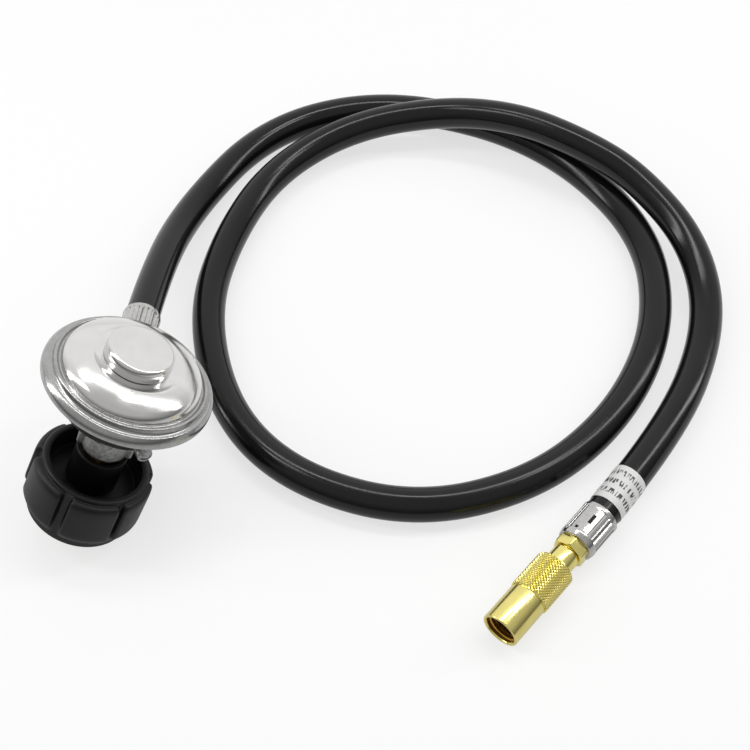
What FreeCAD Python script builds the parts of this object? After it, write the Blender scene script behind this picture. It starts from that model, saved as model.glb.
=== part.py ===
# Low pressure gas regulator with a hand tightened cylinder nut, a rubber hose and a brass hose end.
# Millimetres, Z up. The regulator leans on the rim of its nut, as it lies on a table, and the hose
# lies on the table behind it in one loop. The origin is under the middle of the regulator.

import math
import os

import FreeCAD
import Part

V = FreeCAD.Vector

# How the regulator lies. Angles in the table's plane are from X, turning towards Y.
LEAN = 27.0                 # the regulator's own axis, from upright
LEAN_TOWARDS = 27.0
OUTLET_TOWARDS = 81.5

# Hose
HOSE_OD = 15.0
HOSE_ID = 8.0
PRESS = 0.05                # radial gap of a pressed or crimped seat
GAP = 0.3                   # gap between pieces that pass or face each other
RUNNING = 0.08              # radial gap of a turning or sliding fit

# Cover, a steel pressing: radii, and heights over the lower face of its rolled rim
SHEET = 1.0
RIM_R = 35.0
RIM_H = 5.4
RIM_SLOPE = 1.6             # width of the slanted edge round the top of the rim
RIM_SLOPE_H = 2.0           # and its height
LIP = 3.2                   # how far the rolled edge grips under the body's flange
STEP_R = RIM_R - 2.6
BEAD_R = STEP_R - 1.2
BEAD_H = 7.9
GROOVE_R = BEAD_R - 1.8
GROOVE_H = 6.8
DOME_R = GROOVE_R - 0.9
SHOULDER_R = DOME_R - 1.3
SHOULDER_H = 10.9
CROWN_R = SHOULDER_R - 4.4
CROWN_H = 13.6
DISH_H = 15.2
TROUGH_H = 14.5
NECK_R = 12.6
TROUGH_R = NECK_R + 4.0
DISH_R = TROUGH_R + 2.0

# Cap over the adjusting plug
CAP_SHEET = 0.9
CAP_R = NECK_R + CAP_SHEET + GAP
CAP_TOP = 20.6
PLUG_T = 3.2
PLUG_KEY = 8.0              # across the flats of its socket

# Body, a zinc casting
FLANGE_T = 2.4
LIP_PLAY = 0.6              # between the rolled edge and the bowl's side
BOWL_R = RIM_R - LIP - LIP_PLAY
BOWL_SIDE = 1.5             # depth of the bowl's upright side
BOWL_SLOPE = 3.6            # how far the bowl narrows down to its slope's end
BOWL_SLOPE_Z = -6.0
BOWL_FLOOR_R = BOWL_R - 8.2
BOWL_DEPTH = 13.5
WALL = 3.0
OUTLET_Z = -15.5            # height of the outlet's axis, under the rim
OUTLET_R = 8.6
OUTLET_END = 41.8           # from the cover's axis to the end of the outlet boss
OUTLET_SEAT = 8.0           # depth of the seat that the outlet stem is pressed into
OUTLET_PASSAGE_R = 2.0      # passage from the bowl's floor down to the outlet
INLET_X = -14.7             # the inlet's axis, beside the cover's axis
INLET_R = 9.4
INLET_END = -22.6
INLET_ROUND = 2.4           # rounding of the inlet boss's lower edge
EAR_HALF = 11.3             # half the width over the two flats beside the inlet boss
EAR_T = 7.0
EAR_TOP = -9.0
EAR_BOTTOM = -20.5
VENT_R = 3.2
VENT_HOLE_R = 1.6
VENT_MOUTH = BOWL_R - 0.8   # from the cover's axis
VENT_ANGLE = 209.5
VENT_Z = -8.5
VENT_POST_R = 2.5           # the post that takes its passage up through the flange
VENT_POST_AT = BOWL_R - VENT_POST_R
VENT_PASSAGE_R = 0.9

# Diaphragm and what it works
DIAPHRAGM_T = 0.9
ROLL_EDGE = 2.5             # clamped sheet inside the cover's wall, outside the roll
ROLL_WIDTH = 4.5
ROLL_INSET = 1.5            # flat sheet between the plate and the roll
ROLL_HANG = 1.6
PLATE_R = DOME_R - SHEET - ROLL_EDGE - ROLL_WIDTH - ROLL_INSET
PLATE_T = 1.0
PLATE_RIM = 1.2
STEM_R = 1.5
RIVET_R = 2.55
STEM_WASHER_R = 6.8
STEM_HEAD_R = 3.2
DIAPHRAGM_TRAVEL = 2.4
SPRING_R = 8.6
SPRING_WIRE = 1.4
SPRING_TURNS = 4
LEVER_T = 1.2
LEVER_W = 5.0
LEVER_Z = -2.6
PIVOT_X = -10.5
PIN_R = 1.0
HUB_R = 1.8
FORK_REACH = 3.0
FORK_PLAY = 0.6
PAD_R = 2.1
STUD_R = 1.15
PAD_T = 1.6
PAD_CLEAR = 0.05            # what is left between pad and seat at the end of the travel
SEAT_R = 2.0
SEAT_LIP_R = 1.5            # the raised edge that the pad closes
SEAT_BORE_R = 1.2
SEAT_THREAD = 1.5           # how far the seat reaches down into the body's floor

# Cylinder inlet: nipple, nut and the check valve in the nose. Heights are under the rim.
SHANK_R = 6.3
SHANK_PLAY = 0.2            # left over the shank's end in its bore
SHANK_TO_SEAT = 0.6         # from the shank's end to the valve seat over it
COLLAR_AF = 15.0
COLLAR_T = 2.3
NIPPLE_R = 6.0
NOSE_R = 7.6
NOSE_LENGTH = 8.2
NIPPLE_FLANGE_R = 11.5
NIPPLE_FLANGE_T = 2.4
NIPPLE_BORE_R = 2.6
CHECK_CHAMBER_R = 4.5
CHECK_SPRING_WIRE = 0.7
CHECK_SPRING_TURNS = 4
POPPET_LENGTH = 5.7
CHECK_TRAVEL = 2.0
RETAINER_T = 1.4
SLEEVE_R = 10.6
BUSHING_R = 13.4
BUSHING_T = 3.0

NUT_BACK = -31.0            # the nut's open back edge
NUT_LENGTH = 29.0
NUT_BACK_R = 20.9
NUT_WAIST_R = 20.2
NUT_LUG_R = 24.6
NUT_FRONT_R = 21.2
NUT_RECESS_R = 18.8
NUT_RECESS_DEPTH = 9.0
NUT_WEB = 4.0
NUT_THREAD_R = 14.6         # crests of the thread
NUT_LUGS = 6
LUG_CREST = 44.0            # degrees of a lug's crest
LUG_FOOT = 50.0             # degrees of a lug's foot
LUG_TURN = 187.0            # where one lug stands, from the outlet's side
LUG_ROUND = 1.2
LUG_END = 5.2               # how far the lugs stop short of the nut's mouth
LUG_ARCH = 7.5              # how far under the back edge a lug reaches its full height
BACK_RIM_T = 2.2
RECESS_TAPER = 0.8

# Hose ends
FERRULE_WALL = 0.85
FERRULE_FLUTES = 10
FLUTE_DEPTH = 0.35
FERRULE_LENGTH = 18.2
COLLAR_GAP = 2.0            # the stem's collar between the outlet boss and the ferrule
BARB_BORE_R = 2.6
SHANK_WALL = 0.5            # how much wider than the hose's bore the stem is in the outlet boss
STEM_COLLAR_R = 7.2

# Brass hose end
HEX_AF = 13.0
HEX_T = 5.0
HEX_GROOVE = 0.6
NECK_END_R = 5.8
NECK_LENGTH = 7.1
KNURL_R = 8.75
KNURL_LENGTH = 18.9
SOCKET_R = 8.15
SOCKET_LENGTH = 17.9
SOCKET_LINE = 0.5
TAIL_R = 5.0
THREAD_R = 6.4
THREAD_LENGTH = 25.2        # with the relief at its inner end
RELIEF = 0.4                # the relief round flange and washer, over the thread's radius
WASHER_T = 2.0
WASHER_HOLE_R = 3.0
MOUTH_CHAMFER = 0.65
END_AXIS_Z = 8.8            # the hose end lies on its knurled grip

# Label round the hose
LABEL_LENGTH = 18.8
LABEL_GAP = 4.2
LABEL_T = 0.2

# Corners of the hose's route over the table, from the second one to the last but one.
# The third value is the height of the hose's middle over its height when it lies on the table.
ROUTE = [
    (13.5, 137.0, 0.0),
    (48.5, 191.0, 0.0),
    (102.5, 211.0, 0.0),
    (161.0, 198.0, 0.0),
    (204.5, 167.5, 0.0),
    (234.5, 118.5, 0.0),
    (234.0, 65.0, 0.0),
    (211.0, 16.5, 0.0),
    (173.0, -18.5, 0.0),
    (121.0, -33.0, 0.0),
    (70.0, -17.0, 0.0),
    (38.5, 17.0, 0.0),
    (25.0, 72.0, 0.0),
    (33.5, 119.0, 0.0),
    (53.5, 161.5, 1.0),
    (91.5, 188.5, 7.5),
    (138.0, 192.5, 16.5),
    (174.0, 180.5, 30.5),
    (204.5, 162.5, 30.5),
    (230.0, 145.0, 20.5),
    (254.5, 109.0, 9.0),
    (257.5, 64.0, 0.0),
]
START_STRAIGHT = 30.0               # first corner of the route, past the regulator's ferrule
END_FERRULE_AT = (197.0, -35.5)     # where the hose enters its end ferrule
END_TOWARDS = 229.4                 # the way the hose end points
END_STRAIGHT = 50.0                 # last corner of the route, before the end ferrule


def ring(outer, inner, length, start, axis=V(0, 0, 1), at=V(0, 0, 0)):
    """A tube along an axis, or a solid disc where there is no inner radius."""
    base = at + axis * start
    solid = Part.makeCylinder(outer, length, base, axis)
    if inner:
        solid = solid.cut(Part.makeCylinder(inner, length, base, axis))
    return solid


def hexagon(across_flats, length, start, axis, at, side):
    """A hexagonal bar along an axis, with one corner towards the side."""
    other = axis.cross(side)
    corner = across_flats / math.sqrt(3.0)
    points = []
    for k in range(7):
        turn = math.radians(60.0 * k)
        points.append(at + axis * start + (side * math.cos(turn) + other * math.sin(turn)) * corner)
    return Part.Face(Part.makePolygon(points)).extrude(axis * length)


def tangent_arc(start, corner, end):
    """The arc that leaves start towards the corner and reaches end from it."""
    middle = (start + end) * 0.5
    half = (end - start).Length / 2.0
    rise = (corner - middle).Length
    if rise < 1e-6:
        return Part.LineSegment(start, end).toShape()
    angle = math.atan2(rise, half)
    top = middle + (corner - middle) * (half * math.tan(angle / 2.0) / rise)
    return Part.Arc(start, top, end).toShape()


def rounded(points, radius, closed=True):
    """Straight lines through points, each corner rounded by the radius or by what its sides allow."""
    count = len(points)
    cuts = []
    for i in range(count):
        if not closed and i in (0, count - 1):
            cuts.append((points[i], points[i]))
            continue
        back = points[i - 1] - points[i]
        ahead = points[(i + 1) % count] - points[i]
        turn = math.pi - back.getAngle(ahead)
        wanted = radius[i] if isinstance(radius, (list, tuple)) else radius
        length = min(wanted * math.tan(turn / 2.0), 0.45 * back.Length, 0.45 * ahead.Length)
        back.normalize()
        ahead.normalize()
        cuts.append((points[i] + back * length, points[i] + ahead * length))
    edges = []
    for i in range(count):
        enter, leave = cuts[i]
        if (leave - enter).Length > 1e-6:
            edges.append(tangent_arc(enter, points[i], leave))
        if closed or i < count - 1:
            following = cuts[(i + 1) % count][0]
            edges.append(Part.LineSegment(leave, following).toShape())
    return Part.Wire(edges)


def revolved(profile, radius=0.0, x=0.0):
    """A turned solid about a line along Z, from (radius, height) points."""
    points = [V(r, 0, z) for r, z in profile]
    if radius:
        wire = rounded(points, radius)
    else:
        wire = Part.makePolygon(points + points[:1])
    solid = Part.Face(wire).revolve(V(0, 0, 0), V(0, 0, 1), 360)
    solid.translate(V(x, 0, 0))
    return solid


def coil(radius, wire, low, high, turns, x=0.0):
    """A spring of round wire: two tangent arcs for each quarter of a turn."""
    climb = (high - low) / turns
    slope = climb / (2.0 * math.pi * radius)

    def place(turn):
        angle = 2.0 * math.pi * turn
        point = V(radius * math.cos(angle), radius * math.sin(angle), low + climb * turn)
        along = V(-math.sin(angle), math.cos(angle), slope)
        return point, along.normalize()

    edges = []
    steps = int(round(turns * 4))
    for k in range(steps):
        start, leave = place(k / 4.0)
        end, arrive = place((k + 1) / 4.0)
        chord = end - start
        both = leave + arrive
        bend = 2.0 * (1.0 - leave.dot(arrive))
        reach = (math.sqrt(chord.dot(both) ** 2 + bend * chord.dot(chord)) - chord.dot(both)) / bend
        first = start + leave * reach
        second = end - arrive * reach
        joint = (first + second) * 0.5
        edges.append(tangent_arc(start, first, joint))
        edges.append(tangent_arc(joint, second, end))
    start, leave = place(0.0)
    section = Part.Wire(Part.makeCircle(wire / 2.0, start, leave))
    spring = Part.Wire(edges).makePipeShell([section], True, False)
    spring.translate(V(x, 0, 0))
    print("spring of radius %.1f: least gap between turns %.2f mm" % (radius, climb - wire))
    return spring


# The regulator is drawn about the cover's axis, upright, with its outlet along X.

FLANGE_LOW = SHEET
FLANGE_TOP = FLANGE_LOW + FLANGE_T
DIAPHRAGM_TOP = FLANGE_TOP + DIAPHRAGM_T
FLOOR = WALL - BOWL_DEPTH
NECK_TOP = CAP_TOP - CAP_SHEET
PLUG_TOP = NECK_TOP - SHEET
PLUG_LOW = PLUG_TOP - PLUG_T
RIM_INNER_R = RIM_R - SHEET
PLATE_LOW = DIAPHRAGM_TOP
CLOSING_TURN = DIAPHRAGM_TRAVEL / -PIVOT_X
STEM_TRAP = 2.0 * STEM_HEAD_R * math.sin(CLOSING_TURN) + LEVER_T + GAP
PAD_TOP = LEVER_Z - LEVER_T / 2.0
PAD_DEPTH = LEVER_T / 2.0 + PAD_T
PAD_REACH = (PIVOT_X - INLET_X + SEAT_LIP_R + PAD_DEPTH * math.sin(CLOSING_TURN)) / math.cos(CLOSING_TURN)
PAD_LIFT = PAD_REACH * math.sin(CLOSING_TURN) + PAD_DEPTH * (math.cos(CLOSING_TURN) - 1.0) + PAD_CLEAR
SEAT_TOP = PAD_TOP - PAD_T - PAD_LIFT
PAD_X = INLET_X
SEAT_FLANGE_R = 1.8 * SEAT_R
SEAT_FLANGE_T = 1.0
SEAT_BOSS_TOP = SEAT_TOP - SEAT_FLANGE_T - 0.8
SEAT_LOW = FLOOR - SEAT_THREAD
SHANK_TOP = SEAT_LOW - SHANK_TO_SEAT


def make_cover():
    """Dome, trough, bead and rolled rim in one pressing, with the neck that holds the plug."""
    outer = [
        (NECK_R, NECK_TOP), (NECK_R, TROUGH_H), (TROUGH_R, TROUGH_H), (DISH_R, DISH_H),
        (CROWN_R, CROWN_H), (SHOULDER_R, SHOULDER_H), (DOME_R, SHOULDER_H - 1.7), (DOME_R, GROOVE_H),
        (GROOVE_R, GROOVE_H),
        (GROOVE_R + 0.6, BEAD_H), (BEAD_R, BEAD_H), (BEAD_R + 0.3, RIM_H + 0.7), (STEP_R, RIM_H),
        (RIM_R - RIM_SLOPE, RIM_H), (RIM_R, RIM_H - RIM_SLOPE_H), (RIM_R, 0.0), (RIM_R - LIP, 0.0),
    ]
    inner = [
        (RIM_R - LIP, SHEET), (RIM_INNER_R, SHEET), (RIM_INNER_R, RIM_H - SHEET - 1.4),
        (RIM_INNER_R - 1.2, RIM_H - SHEET), (DOME_R - SHEET, RIM_H - SHEET),
        (DOME_R - SHEET, SHOULDER_H - 2.1), (SHOULDER_R - 0.6, SHOULDER_H - SHEET),
        (CROWN_R - 0.5, CROWN_H - SHEET), (DISH_R, DISH_H - SHEET), (TROUGH_R, TROUGH_H - SHEET),
        (NECK_R - SHEET, TROUGH_H - SHEET), (NECK_R - SHEET, NECK_TOP),
    ]
    radii = [0.2, 0.8, 1.5, 1.5, 12.0, 2.0, 1.0, 0.4, 0.4, 0.4, 0.4, 0.4, 0.4, 1.0, 2.0, 1.2, 0.3]
    radii += [0.2, 0.4, 0.8, 0.8, 0.6, 1.0, 1.5, 11.0, 1.5, 1.5, 0.4, 0.2]
    return revolved(outer + inner, radii)


def make_cover_cap():
    """A shallow pressed cup over the neck, its top resting on the neck's edge."""
    low = TROUGH_H + GAP
    profile = [
        (0.0, CAP_TOP), (CAP_R - 0.4, CAP_TOP), (CAP_R, low), (CAP_R - CAP_SHEET, low),
        (CAP_R - CAP_SHEET, NECK_TOP), (0.0, NECK_TOP),
    ]
    return revolved(profile, [0.0, 0.9, 0.2, 0.2, 0.2, 0.0])


def make_adjusting_plug():
    """Threaded plug in the neck, with a key socket above and a pilot for the spring below."""
    radius = NECK_R - SHEET - GAP
    pilot = SPRING_R - SPRING_WIRE / 2.0 - 2.0
    plug = ring(radius, 0, PLUG_T, PLUG_LOW)
    plug = plug.fuse(ring(pilot, 0, 1.5, PLUG_LOW - 1.5))
    socket = hexagon(PLUG_KEY, PLUG_T, PLUG_TOP - 2.0, V(0, 0, 1), V(0, 0, 0), V(1, 0, 0))
    return plug.cut(socket).removeSplitter()


def make_control_spring():
    low = PLATE_LOW + PLATE_T + SPRING_WIRE / 2.0 + 0.1
    high = PLUG_LOW - SPRING_WIRE / 2.0 - 0.1
    return coil(SPRING_R, SPRING_WIRE, low, high, SPRING_TURNS)


def vent_direction():
    turn = math.radians(VENT_ANGLE)
    return V(math.cos(turn), math.sin(turn), 0)


def make_diaphragm():
    """Rubber sheet clamped between cover and body, with one rolled ring that lets it travel."""
    low = FLANGE_TOP
    top = DIAPHRAGM_TOP
    roll_in = PLATE_R + ROLL_INSET
    roll_out = roll_in + ROLL_WIDTH
    middle = (roll_in + roll_out) / 2.0
    edge = RIM_INNER_R - RIM_SLOPE
    profile = [
        (STEM_R + PRESS, low), (roll_in, low), (middle, low - ROLL_HANG), (roll_out, low),
        (edge, low), (edge, top), (roll_out, top), (middle, top - ROLL_HANG),
        (roll_in, top), (STEM_R + PRESS, top),
    ]
    radii = [0.0, 1.2, 1.8, 1.2, 0.0, 0.0, 1.2, 1.8, 1.2, 0.0]
    at = vent_direction() * VENT_POST_AT
    return revolved(profile, radii).cut(ring(VENT_PASSAGE_R, 0, 2.0, low - 0.5, at=at))


def make_diaphragm_plate():
    """Stiff pressed dish on the diaphragm that the spring stands in."""
    low = PLATE_LOW
    rim = low + PLATE_T + PLATE_RIM
    profile = [
        (STEM_R + PRESS, low), (PLATE_R, low), (PLATE_R, rim), (PLATE_R - PLATE_T, rim),
        (PLATE_R - PLATE_T, low + PLATE_T), (STEM_R + PRESS, low + PLATE_T),
    ]
    return revolved(profile, [0.0, 0.8, 0.2, 0.2, 0.4, 0.0])


def make_diaphragm_stem():
    """Rivet through plate and diaphragm, with two collars that hold the fork of the lever."""
    head = PLATE_LOW + PLATE_T
    trap_top = LEVER_Z + STEM_TRAP / 2.0
    trap_low = LEVER_Z - STEM_TRAP / 2.0
    profile = [
        (0.0, head + 1.0), (RIVET_R, head + 1.0), (RIVET_R, head), (STEM_R, head),
        (STEM_R, FLANGE_TOP), (STEM_WASHER_R, FLANGE_TOP), (STEM_WASHER_R, FLANGE_TOP - 1.0),
        (STEM_R, FLANGE_TOP - 1.0), (STEM_R, trap_top + 1.0), (STEM_HEAD_R, trap_top + 1.0),
        (STEM_HEAD_R, trap_top), (STEM_R, trap_top), (STEM_R, trap_low), (STEM_HEAD_R, trap_low),
        (STEM_HEAD_R, trap_low - 1.0), (0.0, trap_low - 1.0),
    ]
    return revolved(profile)


def make_lever():
    """Flat lever with a hub round its pin, a fork round the stem and a cup over the seat."""
    back = PAD_X - PAD_R - 1.2
    bar = Part.makeBox(FORK_REACH - back, LEVER_W, LEVER_T, V(back, -LEVER_W / 2.0, LEVER_Z - LEVER_T / 2.0))
    axis = V(0, 1, 0)
    hub = Part.makeCylinder(HUB_R, LEVER_W, V(PIVOT_X, -LEVER_W / 2.0, LEVER_Z), axis)
    lever = bar.fuse(hub)
    lever = lever.cut(Part.makeCylinder(PIN_R + RUNNING, LEVER_W, V(PIVOT_X, -LEVER_W / 2.0, LEVER_Z), axis))
    slot = STEM_R + FORK_PLAY
    lever = lever.cut(Part.makeCylinder(slot, 4.0, V(0, 0, LEVER_Z - 2.0)))
    lever = lever.cut(Part.makeBox(FORK_REACH + 1.0, 2.0 * slot, 4.0, V(0, -slot, LEVER_Z - 2.0)))
    lever = lever.cut(Part.makeCylinder(STUD_R + PRESS, 4.0, V(PAD_X, 0, LEVER_Z - 2.0)))
    return lever.removeSplitter()


def make_valve_pad():
    """Rubber pad under the lever, held by a stud through it."""
    pad = ring(PAD_R, 0, PAD_T, PAD_TOP - PAD_T, at=V(PAD_X, 0, 0))
    stud = ring(STUD_R, 0, LEVER_T + 0.1, PAD_TOP, at=V(PAD_X, 0, 0))
    button = ring(STUD_R + 0.6, 0, 0.7, PAD_TOP + LEVER_T + 0.1, at=V(PAD_X, 0, 0))
    return pad.fuse(stud).fuse(button).removeSplitter()


def make_lever_pin():
    half = LEVER_W / 2.0 + GAP + 2.0 + 0.4
    return Part.makeCylinder(PIN_R, 2.0 * half, V(PIVOT_X, -half, LEVER_Z), V(0, 1, 0))


def make_valve_seat():
    """Brass jet over the inlet, screwed into the body's floor."""
    boss = SEAT_TOP - 0.8
    profile = [
        (SEAT_BORE_R, SEAT_TOP), (SEAT_LIP_R, SEAT_TOP), (SEAT_R, boss), (SEAT_FLANGE_R, boss),
        (SEAT_FLANGE_R, SEAT_BOSS_TOP), (SEAT_R + 1.0, SEAT_BOSS_TOP), (SEAT_R + 1.0, SEAT_LOW),
        (SEAT_BORE_R, SEAT_LOW),
    ]
    return revolved(profile, x=INLET_X)


def make_body():
    """Casting: bowl and flange, the two port bosses across its underside, and the vent spout."""
    outer_r = RIM_INNER_R - GAP
    bowl = revolved([
        (0.0, FLANGE_TOP), (outer_r, FLANGE_TOP), (outer_r, FLANGE_LOW), (BOWL_R, FLANGE_LOW),
        (BOWL_R, -BOWL_SIDE), (BOWL_R - BOWL_SLOPE, BOWL_SLOPE_Z), (BOWL_FLOOR_R, -BOWL_DEPTH),
        (0.0, -BOWL_DEPTH),
    ], [0.0, 0.3, 0.3, 0.3, 1.5, 3.0, 3.0, 0.0])
    block = Part.makeCylinder(OUTLET_R, OUTLET_END - INLET_X, V(INLET_X, 0, OUTLET_Z), V(1, 0, 0))
    inlet = ring(INLET_R, 0, -INLET_END - 6.0, INLET_END, at=V(INLET_X, 0, 0))
    inlet = inlet.makeFillet(INLET_ROUND, [e for e in inlet.Edges if abs(e.BoundBox.ZMax - INLET_END) < 0.01])
    lug_box = Part.makeBox(EAR_T, 2.0 * EAR_HALF, EAR_TOP - EAR_BOTTOM,
                           V(INLET_X - EAR_T / 2.0, -EAR_HALF, EAR_BOTTOM))
    lug_box = lug_box.makeFillet(0.8, [e for e in lug_box.Edges if e.BoundBox.YLength < 0.01])
    away = vent_direction()
    vent_root = VENT_MOUTH - 8.0
    vent = Part.makeCylinder(VENT_R, VENT_MOUTH - vent_root, away * vent_root + V(0, 0, VENT_Z), away)
    mouth = away * VENT_MOUTH + V(0, 0, VENT_Z)
    vent = vent.makeFillet(0.7, [e for e in vent.Edges if (e.CenterOfMass - mouth).Length < 0.1])
    post = ring(VENT_POST_R, 0, FLANGE_LOW - VENT_Z, VENT_Z, at=away * VENT_POST_AT)
    body = bowl.fuse([block, inlet, lug_box, vent, post])

    cavity_r = DOME_R - SHEET - 1.2
    cavity = revolved([
        (0.0, FLANGE_TOP), (cavity_r, FLANGE_TOP), (cavity_r, -1.0),
        (BOWL_R - BOWL_SLOPE - WALL, BOWL_SLOPE_Z + 1.0),
        (BOWL_FLOOR_R - WALL, FLOOR), (0.0, FLOOR),
    ], [0.0, 0.0, 1.0, 2.0, 2.0, 0.0])
    # What stands up from the cavity's floor: the seat's boss and the two ears for the lever's pin
    seat_boss = ring(SEAT_FLANGE_R + 1.0, 0, SEAT_BOSS_TOP - FLOOR, FLOOR, at=V(INLET_X, 0, 0))
    inside = LEVER_W / 2.0 + GAP
    for side in (-1, 1):
        near = inside if side > 0 else -inside - 2.0
        ear = Part.makeBox(2.0 * HUB_R, 2.0, LEVER_Z - FLOOR, V(PIVOT_X - HUB_R, near, FLOOR))
        top = Part.makeCylinder(HUB_R, 2.0, V(PIVOT_X, near, LEVER_Z), V(0, 1, 0))
        seat_boss = seat_boss.fuse(ear).fuse(top)
    hole = Part.makeCylinder(PIN_R + PRESS, 2.0 * BOWL_R, V(PIVOT_X, -BOWL_R, LEVER_Z), V(0, 1, 0))
    body = body.cut(cavity.cut(seat_boss.cut(hole)))

    # Ports: spot face, shank thread and jet thread at the inlet, stem bore and passage at the outlet
    body = body.cut(ring(SLEEVE_R + 1.0, 0, OUTLET_R, INLET_END - OUTLET_R, at=V(INLET_X, 0, 0)))
    shank_bore = SHANK_TOP + SHANK_PLAY - INLET_END
    body = body.cut(ring(SHANK_R + PRESS, 0, shank_bore, INLET_END, at=V(INLET_X, 0, 0)))
    body = body.cut(ring(SEAT_R + 1.0 + PRESS, 0, SEAT_TOP - INLET_END, INLET_END, at=V(INLET_X, 0, 0)))
    bore = Part.makeCylinder(BARB_BORE_R, OUTLET_END, V(0, 0, OUTLET_Z), V(1, 0, 0))
    body = body.cut(bore)
    shank_r = HOSE_ID / 2.0 + SHANK_WALL + PRESS
    seat_at = V(OUTLET_END - OUTLET_SEAT, 0, OUTLET_Z)
    body = body.cut(Part.makeCylinder(shank_r, OUTLET_SEAT, seat_at, V(1, 0, 0)))
    body = body.cut(ring(OUTLET_PASSAGE_R, 0, FLOOR - OUTLET_Z + 1.0, OUTLET_Z, at=V(BARB_BORE_R, 0, 0)))
    body = body.cut(Part.makeCylinder(VENT_HOLE_R, VENT_MOUTH - VENT_POST_AT + 1.0, mouth, away * -1.0))
    body = body.cut(Part.makeCylinder(VENT_HOLE_R + 0.5, 1.2, mouth, away * -1.0))
    body = body.cut(ring(VENT_PASSAGE_R, 0, FLANGE_TOP - VENT_Z, VENT_Z, at=away * VENT_POST_AT))
    return body.removeSplitter()


def make_vent_screen():
    """Small disc pressed into the vent's mouth, with one hole, to keep insects out."""
    at = V(0, 0, VENT_Z)
    return ring(VENT_HOLE_R + 0.5 - PRESS, 0.6, 0.6, VENT_MOUTH - 1.2, axis=vent_direction(), at=at)


# Heights along the inlet, from the boss down to the nose
COLLAR_LOW = INLET_END - COLLAR_T
WEB_TOP = NUT_BACK - NUT_RECESS_DEPTH
WEB_LOW = WEB_TOP - NUT_WEB
BUSHING_TOP = WEB_LOW - GAP
BUSHING_LOW = BUSHING_TOP - BUSHING_T
FLANGE_LOW_Z = BUSHING_LOW - GAP - NIPPLE_FLANGE_T
NOSE_END = FLANGE_LOW_Z - NOSE_LENGTH
NUT_FRONT = NUT_BACK - NUT_LENGTH
RETAINER_LOW = NOSE_END + 0.2
POPPET_LOW = RETAINER_LOW + RETAINER_T + 0.3
CHAMBER_TOP = POPPET_LOW + POPPET_LENGTH + CHECK_TRAVEL + 3.5


def make_inlet_nipple():
    """Brass nipple: thread, wrench collar, neck for the nut, flange, and the nose that enters the valve."""
    profile = [
        (NIPPLE_BORE_R, SHANK_TOP), (SHANK_R - 0.8, SHANK_TOP), (SHANK_R, SHANK_TOP - 1.0),
        (SHANK_R, INLET_END), (NIPPLE_R, INLET_END), (NIPPLE_R, FLANGE_LOW_Z + NIPPLE_FLANGE_T),
        (NIPPLE_FLANGE_R, FLANGE_LOW_Z + NIPPLE_FLANGE_T), (NIPPLE_FLANGE_R, FLANGE_LOW_Z),
        (NOSE_R, FLANGE_LOW_Z), (NOSE_R, NOSE_END + 1.2),
        (NOSE_R - 1.2, NOSE_END), (CHECK_CHAMBER_R, NOSE_END), (CHECK_CHAMBER_R, CHAMBER_TOP),
        (NIPPLE_BORE_R, CHAMBER_TOP),
    ]
    nipple = revolved(profile, x=INLET_X)
    at = V(INLET_X, 0, 0)
    collar = hexagon(COLLAR_AF, COLLAR_T, COLLAR_LOW, V(0, 0, 1), at, V(1, 0, 0))
    collar = collar.cut(ring(NIPPLE_R - 1.0, 0, COLLAR_T, COLLAR_LOW, at=at))
    return nipple.fuse(collar).removeSplitter()


def make_neck_sleeve():
    """Plastic sleeve on the nipple's neck and over its wrench collar, from the boss to the nut's web."""
    low = WEB_TOP + GAP
    top = INLET_END - GAP
    collar_r = COLLAR_AF / math.sqrt(3.0) + GAP
    profile = [
        (collar_r, COLLAR_LOW), (collar_r, top), (SLEEVE_R, top), (SLEEVE_R, low), (NIPPLE_R + PRESS, low),
        (NIPPLE_R + PRESS, COLLAR_LOW),
    ]
    return revolved(profile, [0.2, 0.2, 0.7, 0.8, 0.0, 0.0], x=INLET_X)


def make_thermal_bushing():
    """Ring between the nut's web and the nipple's flange that lets go in a fire."""
    profile = [
        (NIPPLE_R + PRESS, BUSHING_TOP), (BUSHING_R, BUSHING_TOP), (BUSHING_R, BUSHING_LOW + 1.0),
        (BUSHING_R - 1.0, BUSHING_LOW), (NIPPLE_R + PRESS, BUSHING_LOW),
    ]
    return revolved(profile, x=INLET_X)


def make_check_retainer():
    return ring(CHECK_CHAMBER_R - PRESS, NIPPLE_BORE_R, RETAINER_T, RETAINER_LOW, at=V(INLET_X, 0, 0))


def make_check_poppet():
    """Piston with a tip through the retainer, and flats that let the gas by."""
    at = V(INLET_X, 0, 0)
    poppet = ring(CHECK_CHAMBER_R - GAP, 0, POPPET_LENGTH, POPPET_LOW, at=at)
    for k in range(3):
        flat = Part.makeBox(3.0, 12.0, POPPET_LENGTH, V(CHECK_CHAMBER_R - 1.3, -6.0, POPPET_LOW))
        flat.rotate(V(0, 0, 0), V(0, 0, 1), 120.0 * k)
        flat.translate(at)
        poppet = poppet.cut(flat)
    pilot = CHECK_SPRING_WIRE + 1.2
    pocket = ring(CHECK_CHAMBER_R, pilot, 2.0, POPPET_LOW + POPPET_LENGTH - 2.0, at=at)
    poppet = poppet.cut(pocket)
    tip = ring(NIPPLE_BORE_R - GAP, 0, RETAINER_T + 0.3, POPPET_LOW - RETAINER_T - 0.3, at=at)
    return poppet.fuse(tip).removeSplitter()


def make_check_spring():
    radius = (CHECK_SPRING_WIRE + 1.2 + CHECK_CHAMBER_R) / 2.0
    low = POPPET_LOW + POPPET_LENGTH - 2.0 + CHECK_SPRING_WIRE / 2.0 + 0.1
    high = CHAMBER_TOP - CHECK_SPRING_WIRE / 2.0 - 0.1
    return coil(radius, CHECK_SPRING_WIRE, low, high, CHECK_SPRING_TURNS, INLET_X)


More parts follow.
